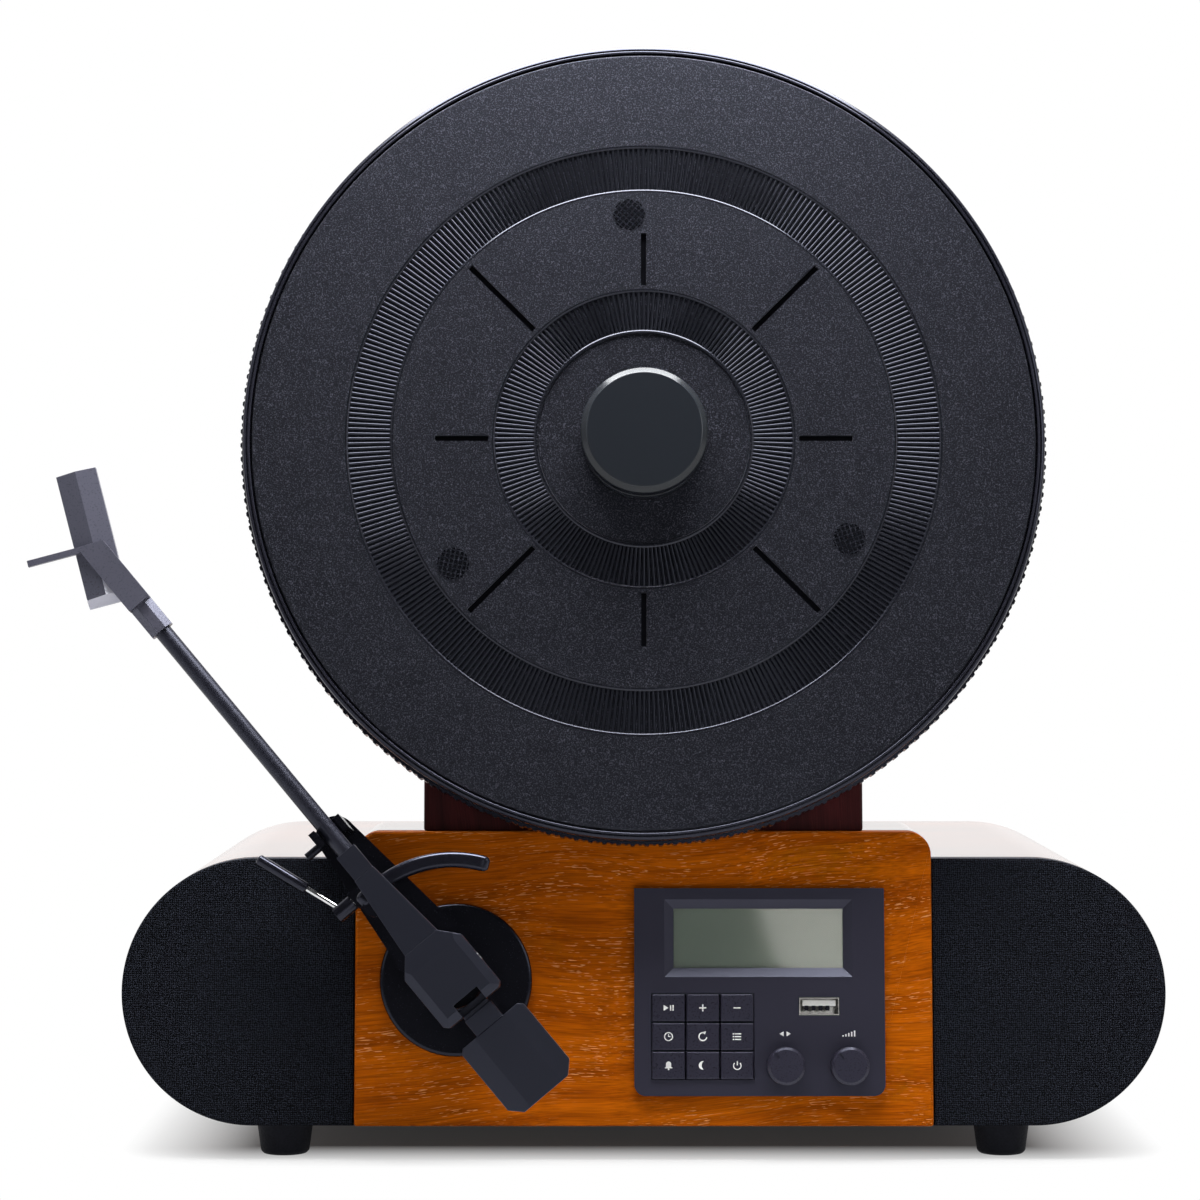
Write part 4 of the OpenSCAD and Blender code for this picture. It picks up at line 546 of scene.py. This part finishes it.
# The window is lifted a hair off the display's cell, so that the two faces don't lie in one plane
WINDOW_LIFT = 0.06
window = dress(finish_mesh(copied("display_window"), 0.12), acrylic)
window.data.transform(Matrix.Translation(FRONT.to_3x3() @ Vector((0, 0, WINDOW_LIFT * MM))))


# Platter, mat and their ribs


def turned(name, profile, steps=ROUND, angle=FULL_TURN):
    """A piece turned about an axis from a closed profile of radius and height in millimetres."""
    deselect()
    bpy.ops.mesh.primitive_plane_add(size=MM)
    piece = named(name)
    edit("VERT")
    bpy.ops.mesh.merge(type="CENTER")
    bpy.ops.transform.translate(value=(profile[0][0] * MM, 0, profile[0][1] * MM))
    for near, far in zip(profile, profile[1:] + profile[:1]):
        step = ((far[0] - near[0]) * MM, 0, (far[1] - near[1]) * MM)
        bpy.ops.mesh.extrude_region_move(TRANSFORM_OT_translate={"value": step})
    bpy.ops.mesh.select_all(action="SELECT")
    bpy.ops.mesh.spin(steps=steps, angle=angle, center=(0, 0, 0), axis=(0, 0, 1))
    bpy.ops.mesh.select_all(action="SELECT")
    bpy.ops.mesh.remove_doubles(threshold=1e-6)
    bpy.ops.mesh.normals_make_consistent(inside=False)
    done()
    return piece


def arc(centre, radius, start, end, count):
    """Points of an arc in a profile, angles in degrees."""
    angles = [math.radians(start + (end - start) * i / count) for i in range(count + 1)]
    return [(centre[0] + radius * math.cos(a), centre[1] + radius * math.sin(a)) for a in angles]


# From the hub over the belt ring to the skirt. The rim shows a rounded lip, a fine groove and a
# shoulder that rolls down to the ridges
platter = turned("platter_finished", [
    (3.6, 2), (14, 2), (14, 17), (56, 17), (56, 6), (60, 6), (60, 17), (134.8, 17), (134.8, 5),
    (138.8, 5), (138.8, 15), (139.5, 15), *arc((138.2, 22.5), 1.3, 0, 80, 8), (138.35, 23.1),
    (138.05, 23.1), *arc((137.4, 23.5), 0.5, 20, 160, 6), (136.8, MAT_SEAT), (3.6, MAT_SEAT)])
finish_mesh(platter)
platter.data.transform(SPINDLE)
dress(platter, platter_abs)
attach(platter, "platter")
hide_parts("platter")

# A sunk middle, then lands with a low ring for ribs on either side of the slotted one
mat = turned("mat_finished", [
    (3.8, MAT_SEAT), (3.8, MAT_SUNK), (36.9, MAT_SUNK), *arc((37.3, 23.7), 0.3, 180, 90, 3),
    *arc((37.5, 23.1), 0.9, 90, 0, 3), (38.4, RIB_FLOOR), (51.6, RIB_FLOOR),
    *arc((52.5, 23.1), 0.9, 180, 90, 3), *arc((87.4, 23.1), 0.9, 90, 0, 3), (88.3, RIB_FLOOR),
    (102.7, RIB_FLOOR), *arc((103.6, 23.1), 0.9, 180, 90, 3), *arc((135.7, 23.5), 0.5, 90, 0, 4),
    (136.2, MAT_SEAT)])

# Short and long slots take turns. Their walls and floors get a near-black finish of their own, which is
# painted shade in the slots
SLOTS, SLOT_START, SLOT_ENDS, SLOT_WIDTH = 8, 54, (72.6, 85.5), 1.9
deselect()
bpy.ops.mesh.primitive_cube_add(size=MM)
cutter = bpy.context.object
edit("FACE")
bpy.ops.mesh.delete(type="VERT")
for i in range(SLOTS):
    end = SLOT_ENDS[i % 2]
    middle = ((SLOT_START + end) / 2 * MM, 0, MAT_SUNK * MM)
    bpy.ops.mesh.primitive_cube_add(size=MM, location=middle)
    bpy.ops.transform.resize(value=(end - SLOT_START, SLOT_WIDTH, 2.0), center_override=middle)
    bpy.ops.transform.rotate(value=i * FULL_TURN / SLOTS, orient_axis="Z", center_override=(0, 0, 0))
done()
cut = mat.modifiers.new("slots", "BOOLEAN")
cut.object = cutter
cut.solver = "EXACT"
apply(mat, cut)
bpy.data.objects.remove(cutter)
finish_mesh(mat)
dress(mat, mat_rubber)
# The slots' walls and floors take the near-black painted shade
mat.data.materials.append(painted_slot_shade)
only(mat)
edit("FACE")
select_where(mat, lambda p: (SLOT_START - 0.1 < p.xy.length < SLOT_ENDS[1] + 0.1
                             and 22.1 < p.z < 23.9))
mat.active_material_index = 1
bpy.ops.object.material_slot_assign()
done()
mat.data.transform(SPINDLE)
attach(mat, "platter")
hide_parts("platter_mat")


def rolled_edge(name, radius, side):
    """The smooth rolled edge of one of the mat's lands, which faces outwards or inwards."""
    bead = [(-1.2, 0.2), (-1.2, 0.82), *arc((-0.75, 0.07), 0.75, 90, 0, 6), (0.0, -0.3), (-0.7, -0.3)]
    ring = turned(name, [(radius + side * x, MAT_SUNK + y) for x, y in bead])
    finish_mesh(ring, smooth=60)
    ring.data.transform(SPINDLE)
    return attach(dress(ring, edge_rubber), "platter")


for i, (radius, side) in enumerate(((38.42, 1), (51.58, -1), (88.32, 1), (102.68, -1))):
    rolled_edge(f"mat_edge_{i + 1}", radius, side)


def rib_ring(name, inner, outer, count):
    """A ring of low radial ribs with steep sides and a crest, from one rib spun round the spindle."""
    middle = ((inner + outer) / 2 * MM, 0, 23.05 * MM)
    width = 0.8 * FULL_TURN * (inner + outer) / 2 / count
    deselect()
    bpy.ops.mesh.primitive_cube_add(size=MM, location=middle)
    piece = named(name)
    bpy.ops.object.transform_apply(location=True)
    edit("FACE")
    bpy.ops.mesh.select_all(action="SELECT")
    bpy.ops.transform.resize(value=(outer - inner, width, 0.6), center_override=middle)
    bpy.ops.mesh.bisect(plane_co=middle, plane_no=(0, 1, 0))
    select_where(piece, lambda p: p.z > MAT_SUNK)
    bpy.ops.transform.resize(value=(1.0, 0.7, 1.0), center_override=middle)
    select_where(piece, lambda p: p.z > MAT_SUNK and abs(p.y) < 1e-4, "verts")
    bpy.ops.transform.translate(value=(0, 0, 0.28 * MM))
    bpy.ops.mesh.select_all(action="SELECT")
    bpy.ops.mesh.spin(steps=count - 1, angle=FULL_TURN * (count - 1) / count, dupli=True,
                      center=(0, 0, 0), axis=(0, 0, 1))
    done()
    finish_mesh(piece, smooth=70)
    piece.data.transform(SPINDLE)
    dress(piece, rib_rubber)
    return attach(piece, "platter")


rib_ring("outer_mat_ribs", 88.1, 102.9, 360)
rib_ring("inner_mat_ribs", 38.2, 51.8, 180)


# Lift bar: a round-edged bar bent about the arm's pivot, with domed ends, its boss and its plunger

BAR_CORNERS = (((41.75, 31.61), 90), ((39.25, 31.61), 180), ((39.25, 31.31), 270),
               ((41.75, 31.31), 0))
bar_edge = [point for centre, end in BAR_CORNERS for point in arc(centre, 1.45, end - 90, end, 4)]
bar = turned("cue_lift_bar_finished", bar_edge[::-1], 40, math.radians(62.4))
only(bar)
edit("EDGE")
bpy.ops.mesh.select_all(action="DESELECT")
bpy.ops.mesh.select_non_manifold(extend=False)
bpy.ops.mesh.edge_face_add()
bpy.ops.mesh.select_mode(type="FACE")
for inwards, outwards in ((0.15, 0.9), (0.3, 0.7), (0.45, 0.5), (0.4, 0.2)):
    bpy.ops.mesh.inset(thickness=inwards * MM, depth=outwards * MM, use_individual=True)
for radius, low, high in ((3.3, 29.7, 32.7), (2.0, 8.0, 29.8)):
    bpy.ops.mesh.primitive_cylinder_add(vertices=32, radius=radius * MM, depth=(high - low) * MM,
                                        location=(36.76 * MM, 0, (low + high) / 2 * MM))
bpy.ops.mesh.select_all(action="SELECT")
bpy.ops.mesh.normals_make_consistent(inside=False)
done()
finish_mesh(bar, smooth=50)
bar.data.transform(ARM @ Matrix.Rotation(math.radians(7.98), 4, "Z"))
dress(bar, tube_lacquer)
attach(bar, "cue_lift")
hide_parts("cue_lift_bar")


# Speaker cloths


# The cloth's straight edge beside the panel, and its rim behind the panel's face
CLOTH_INNER, CLOTH_BACK = 100.7, -2.3


def grille_cloth(side):
    """Cloth stretched over one end of the base and rolled round the edge of its frame."""
    word = "left" if side < 0 else "right"
    end, radius, inner = SHELL_END, SHELL_RADIUS, CLOTH_INNER
    deselect()
    bpy.ops.mesh.primitive_circle_add(vertices=144, radius=radius * MM, fill_type="NGON",
                                      location=(0, 0, 0))
    piece = named(word + "_cloth_finished")
    edit("EDGE")
    bpy.ops.mesh.select_all(action="SELECT")
    bpy.ops.mesh.bisect(plane_co=(0, 0, 0), plane_no=(1, 0, 0), clear_inner=True)
    select_where(piece, lambda p: abs(p.x) < 1e-3, "edges")
    bpy.ops.mesh.extrude_region_move(TRANSFORM_OT_translate={"value": ((inner - end) * MM, 0, 0)})
    bpy.ops.mesh.select_all(action="SELECT")
    bpy.ops.mesh.dissolve_limited(angle_limit=math.radians(0.1), use_dissolve_boundaries=False)
    bpy.ops.mesh.select_mode(type="FACE")
    for step, rise in ((0.25, 0.45), (0.35, 0.25), (0.6, 0.1)):
        bpy.ops.mesh.inset(thickness=step * MM, depth=rise * MM)
    done()
    thicken(piece, 0.4, -1.0)
    rise = (radius / math.cos(LEAN) - CLOTH_BACK * math.tan(LEAN)) * MM
    lay = FRONT @ Matrix.Translation((side * end * MM, rise, CLOTH_BACK * MM))
    lay = lay @ Matrix.Diagonal((side, 1 / math.cos(LEAN), 1, 1))
    piece.data.transform(lay)
    only(piece)
    edit("FACE")
    bpy.ops.mesh.select_all(action="SELECT")
    bpy.ops.mesh.normals_make_consistent(inside=False)
    done()
    finish_mesh(piece, smooth=60)
    dress(piece, cloth)
    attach(piece, "base")
    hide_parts(word + "_grille_cloth")


grille_cloth(-1)
grille_cloth(1)


# Printed signs


class Sign:
    """A flat printed sign, drawn stroke by stroke in one mesh, in millimetres about its own middle."""

    def __init__(self, name):
        deselect()
        bpy.ops.mesh.primitive_plane_add(size=MM)
        self.piece = named(name)
        edit("VERT")
        bpy.ops.mesh.delete(type="VERT")

    def bar(self, x, y, width, height):
        spot = (x * MM, y * MM, 0)
        bpy.ops.mesh.primitive_plane_add(size=MM, location=spot)
        bpy.ops.transform.resize(value=(width, height, 1), center_override=spot)

    def disc(self, x, y, radius, corners, turn=0):
        spot = (x * MM, y * MM, 0)
        bpy.ops.mesh.primitive_circle_add(vertices=corners, radius=radius * MM, fill_type="NGON",
                                          location=spot)
        bpy.ops.transform.rotate(value=math.radians(turn), orient_axis="Z", center_override=spot)

    def band(self, x, y, radius, width, gap=0, gap_at=90):
        """A ring outside a radius, with a gap of some degrees at an angle."""
        spot = Vector((x * MM, y * MM, 0))
        bpy.ops.mesh.primitive_circle_add(vertices=48, radius=radius * MM, fill_type="NOTHING",
                                          location=spot)
        mesh = bmesh.from_edit_mesh(self.piece.data)
        ring = [v for v in mesh.verts if v.select]
        middle = Vector((math.cos(math.radians(gap_at)), math.sin(math.radians(gap_at)), 0))
        for v in ring:
            v.select_set(gap > 0 and (v.co - spot).angle(middle) < math.radians(gap / 2))
        bmesh.update_edit_mesh(self.piece.data)
        kept = [v for v in ring if not v.select]
        if gap:
            bpy.ops.mesh.delete(type="VERT")
        mesh = bmesh.from_edit_mesh(self.piece.data)
        for v in kept:
            v.select_set(True)
        mesh.select_flush(True)
        bmesh.update_edit_mesh(self.piece.data)
        bpy.ops.mesh.extrude_region()
        scale = (radius + width) / radius
        bpy.ops.transform.resize(value=(scale, scale, 1), center_override=spot)

    def crescent(self, radius):
        """A disc whose right part is turned inwards."""
        fold = 0.25 * radius * MM
        self.disc(0, 0, radius, 32)
        mesh = bmesh.from_edit_mesh(self.piece.data)
        for v in [v for v in mesh.verts if v.select]:
            v.select_set(v.co.x > fold)
        mesh.select_flush(False)
        bmesh.update_edit_mesh(self.piece.data)
        bpy.ops.transform.resize(value=(-0.75, 1, 1), center_override=(fold, 0, 0))

    def print_on(self, across, up, height, body):
        """Lays the sign on a face of the bezel, as ink a hair above it."""
        bpy.ops.mesh.select_all(action="SELECT")
        bpy.ops.mesh.normals_make_consistent(inside=False)
        done()
        thicken(self.piece, 0.03, 0.0)
        spot = Vector((BEZEL[0] + across, BEZEL[1] + up, height + 0.02)) * MM
        self.piece.data.transform(FRONT @ Matrix.Translation(spot))
        dress(self.piece, white_ink)
        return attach(self.piece, body)


def play_pause(sign):
    sign.disc(-1.1, 0, 1.15, 3, 90)
    sign.bar(0.75, 0, 0.45, 1.9)
    sign.bar(1.6, 0, 0.45, 1.9)


def plus(sign):
    sign.bar(0, 0, 2.4, 0.45)
    sign.bar(0, 0.73, 0.45, 0.97)
    sign.bar(0, -0.73, 0.45, 0.97)


def minus(sign):
    sign.bar(0, 0, 2.4, 0.45)


def clock(sign):
    sign.band(0, 0, 1.2, 0.35)
    sign.bar(0, 0.4, 0.3, 0.9)
    sign.bar(0.4, 0, 0.5, 0.3)


def loop(sign):
    sign.band(0, 0, 1.15, 0.4, gap=70, gap_at=35)
    sign.disc(0.55, 1.35, 0.7, 3, -70)


def menu(sign):
    for y in (-0.95, 0, 0.95):
        sign.bar(0.25, y, 2.2, 0.4)
        sign.disc(-1.3, y, 0.26, 12)


def bell(sign):
    sign.disc(0, 0.45, 0.9, 24)
    sign.bar(0, -0.2, 1.8, 0.9)
    sign.bar(0, -0.82, 2.6, 0.35)
    sign.disc(0, -1.3, 0.32, 12)


def moon(sign):
    sign.crescent(1.45)


def power(sign):
    sign.band(0, -0.1, 1.1, 0.38, gap=80)
    sign.bar(0, 0.75, 0.4, 1.5)


# The keypad's lower left corner on the bezel, the keys' pitch, and the row of the knobs' signs
KEYPAD, KEY_PITCH, SIGN_ROW = (5.9, 5.6), (11.9, 9.9), 21.4
SIGNS = (play_pause, plus, minus, clock, loop, menu, bell, moon, power)
for i, (key, draw) in enumerate(zip(KEYS, SIGNS)):
    sign = Sign(key + "_sign")
    draw(sign)
    sign.print_on(KEYPAD[0] + (i % 3 + 0.5) * KEY_PITCH[0], KEYPAD[1] + (2.5 - i // 3) * KEY_PITCH[1],
                  KEY_FACE, key)

tune_sign = Sign("tune_sign")
tune_sign.disc(-1.0, 0, 1.0, 3, -90)
tune_sign.disc(1.0, 0, 1.0, 3, 90)
tune_sign.print_on(52.3, SIGN_ROW, BEZEL_FACE, "base")
volume_sign = Sign("volume_sign")
for i in range(5):
    volume_sign.bar(-2.0 + i, -0.9 + 0.2 * (i + 1), 0.5, 0.4 * (i + 1))
volume_sign.print_on(74.4, SIGN_ROW, BEZEL_FACE, "base")


# Data port: a white tongue with four contacts under it


def block(name, corner, size, rounding):
    """A small block with rounded edges on the bezel, from its lowest corner and its size."""
    middle = [(c + d / 2) * MM for c, d in zip(corner, size)]
    deselect()
    bpy.ops.mesh.primitive_cube_add(size=MM, location=middle)
    piece = named(name)
    bpy.ops.object.transform_apply(location=True)
    edit("FACE")
    bpy.ops.mesh.select_all(action="SELECT")
    bpy.ops.transform.resize(value=size, center_override=middle)
    done()
    finish_mesh(piece, rounding)
    piece.data.transform(FRONT @ Matrix.Translation((BEZEL[0] * MM, BEZEL[1] * MM, 0)))
    return piece


# The port's lower left corner: its middle on the bezel less half its shell
PORT = (64.2 - 6.95, 30.9 - 3.05)
tongue = block("port_tongue", (PORT[0] + 1.15, PORT[1] + 3.15, -2.0), (11.6, 2.0, 3.3), 0.15)
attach(dress(tongue, tongue_nylon), "base")
for i in range(4):
    corner = (PORT[0] + 1.9 + 2.45 * i, PORT[1] + 1.6, -1.5)
    contact = block(f"port_contact_{i + 1}", corner, (1.4, 1.7, 2.9), 0.1)
    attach(dress(contact, base_abs), "base")


# Floor, light and camera

deselect()
bpy.ops.mesh.primitive_plane_add(size=12)
floor = named("studio_floor")
edit("FACE")
bpy.ops.mesh.subdivide(number_cuts=3)
done()

# The paper is white to the camera and in mirrors, but for the shade under the base and close round it
SHADE_HALF, SHADE_FADE = (0.135, 0.077, 0), 0.05
paper = bpy.data.materials.new("white_studio_paper")
paper.use_nodes = True
tree = paper.node_tree
shader = tree.nodes["Principled BSDF"]
shader.inputs["Roughness"].default_value = 0.8
shader.inputs["Base Color"].default_value = linear("#b4b4b4")
spot = add(tree, "ShaderNodeTexCoord").outputs["Object"]
off = vector_node(tree, "SUBTRACT", spot, BASE_MIDDLE)
off = vector_node(tree, "ABSOLUTE", off)
off = vector_node(tree, "SUBTRACT", off, SHADE_HALF)
off = vector_node(tree, "MAXIMUM", off, (0, 0, 0))
far = add(tree, "ShaderNodeVectorMath", {0: off}, operation="LENGTH").outputs["Value"]
fade = spread(tree, far, 0.0, SHADE_FADE, 0.02)
path = add(tree, "ShaderNodeLightPath").outputs
mirrored = math_node(tree, "MAXIMUM", path["Is Glossy Ray"], path["Is Transmission Ray"])
# Mirrors don't show the paper far in front of the object as white
row = add(tree, "ShaderNodeSeparateXYZ", {0: spot}).outputs["Y"]
mirrored = math_node(tree, "MULTIPLY", mirrored, spread(tree, row, -0.9, -0.6))
seen = math_node(tree, "MAXIMUM", mirrored, path["Is Camera Ray"])
share = math_node(tree, "MULTIPLY", fade, seen)
glow = add(tree, "ShaderNodeEmission", {"Color": (1, 1, 1, 1), "Strength": 1.0})
blend = add(tree, "ShaderNodeMixShader", {0: share, 1: shader.outputs[0], 2: glow.outputs[0]})
tree.links.new(blend.outputs[0], tree.nodes["Material Output"].inputs["Surface"])
floor.data.materials.append(paper)

# The room is white to the camera and behind the object, and dim in front, so black plastic stays black
world = bpy.data.worlds.new("white_studio")
bpy.context.scene.world = world
world.use_nodes = True
tree = world.node_tree
way = add(tree, "ShaderNodeSeparateXYZ", {0: add(tree, "ShaderNodeTexCoord").outputs["Generated"]})
level = spread(tree, way.outputs["Y"], -0.15, 0.35, 0.05, 1.0)
camera_ray = add(tree, "ShaderNodeLightPath").outputs["Is Camera Ray"]
white = math_node(tree, "MAXIMUM", level, camera_ray)
tree.links.new(white, tree.nodes["Background"].inputs["Strength"])
tree.nodes["Background"].inputs["Color"].default_value = (1, 1, 1, 1)


def softbox(name, place, target, size, power, shape="RECTANGLE"):
    """A studio light of a given width and depth that faces a point."""
    lamp = bpy.data.lights.new(name, "AREA")
    lamp.shape = shape
    lamp.energy = power
    lamp.size, lamp.size_y = size
    box = bpy.data.objects.new(name, lamp)
    box.location = place
    box.rotation_euler = (Vector(target) - Vector(place)).to_track_quat("-Z", "Y").to_euler()
    bpy.context.collection.objects.link(box)


softbox("overhead", (0.0, -0.1, 0.68), (0.0, -0.1, 0.0), (0.5, 0.5), 17.5)
softbox("left_front", (-1.3, -1.1, 0.7), (0, 0, 0.2), (0.7, 0.7), 1.8)
softbox("right_front", (1.3, -1.1, 0.7), (0, 0, 0.2), (0.7, 0.7), 4.0)
# A small round light that only the display mirrors
softbox("display_light", (0.218, -1.69, 0.32), (0.06, -0.09, 0.08), (0.18, 0.18), 0.22, "DISK")

lens = bpy.data.cameras.new("camera")
lens.lens = 107.7
lens.sensor_width = 36.0
camera = bpy.data.objects.new("camera", lens)
camera.location = BASE_MIDDLE + Vector((-0.0152, -1.3565, 0.19445))
camera.rotation_euler = (math.pi / 2, 0, 0)
bpy.context.collection.objects.link(camera)
bpy.context.scene.camera = camera
bpy.context.scene.view_settings.view_transform = "Standard"
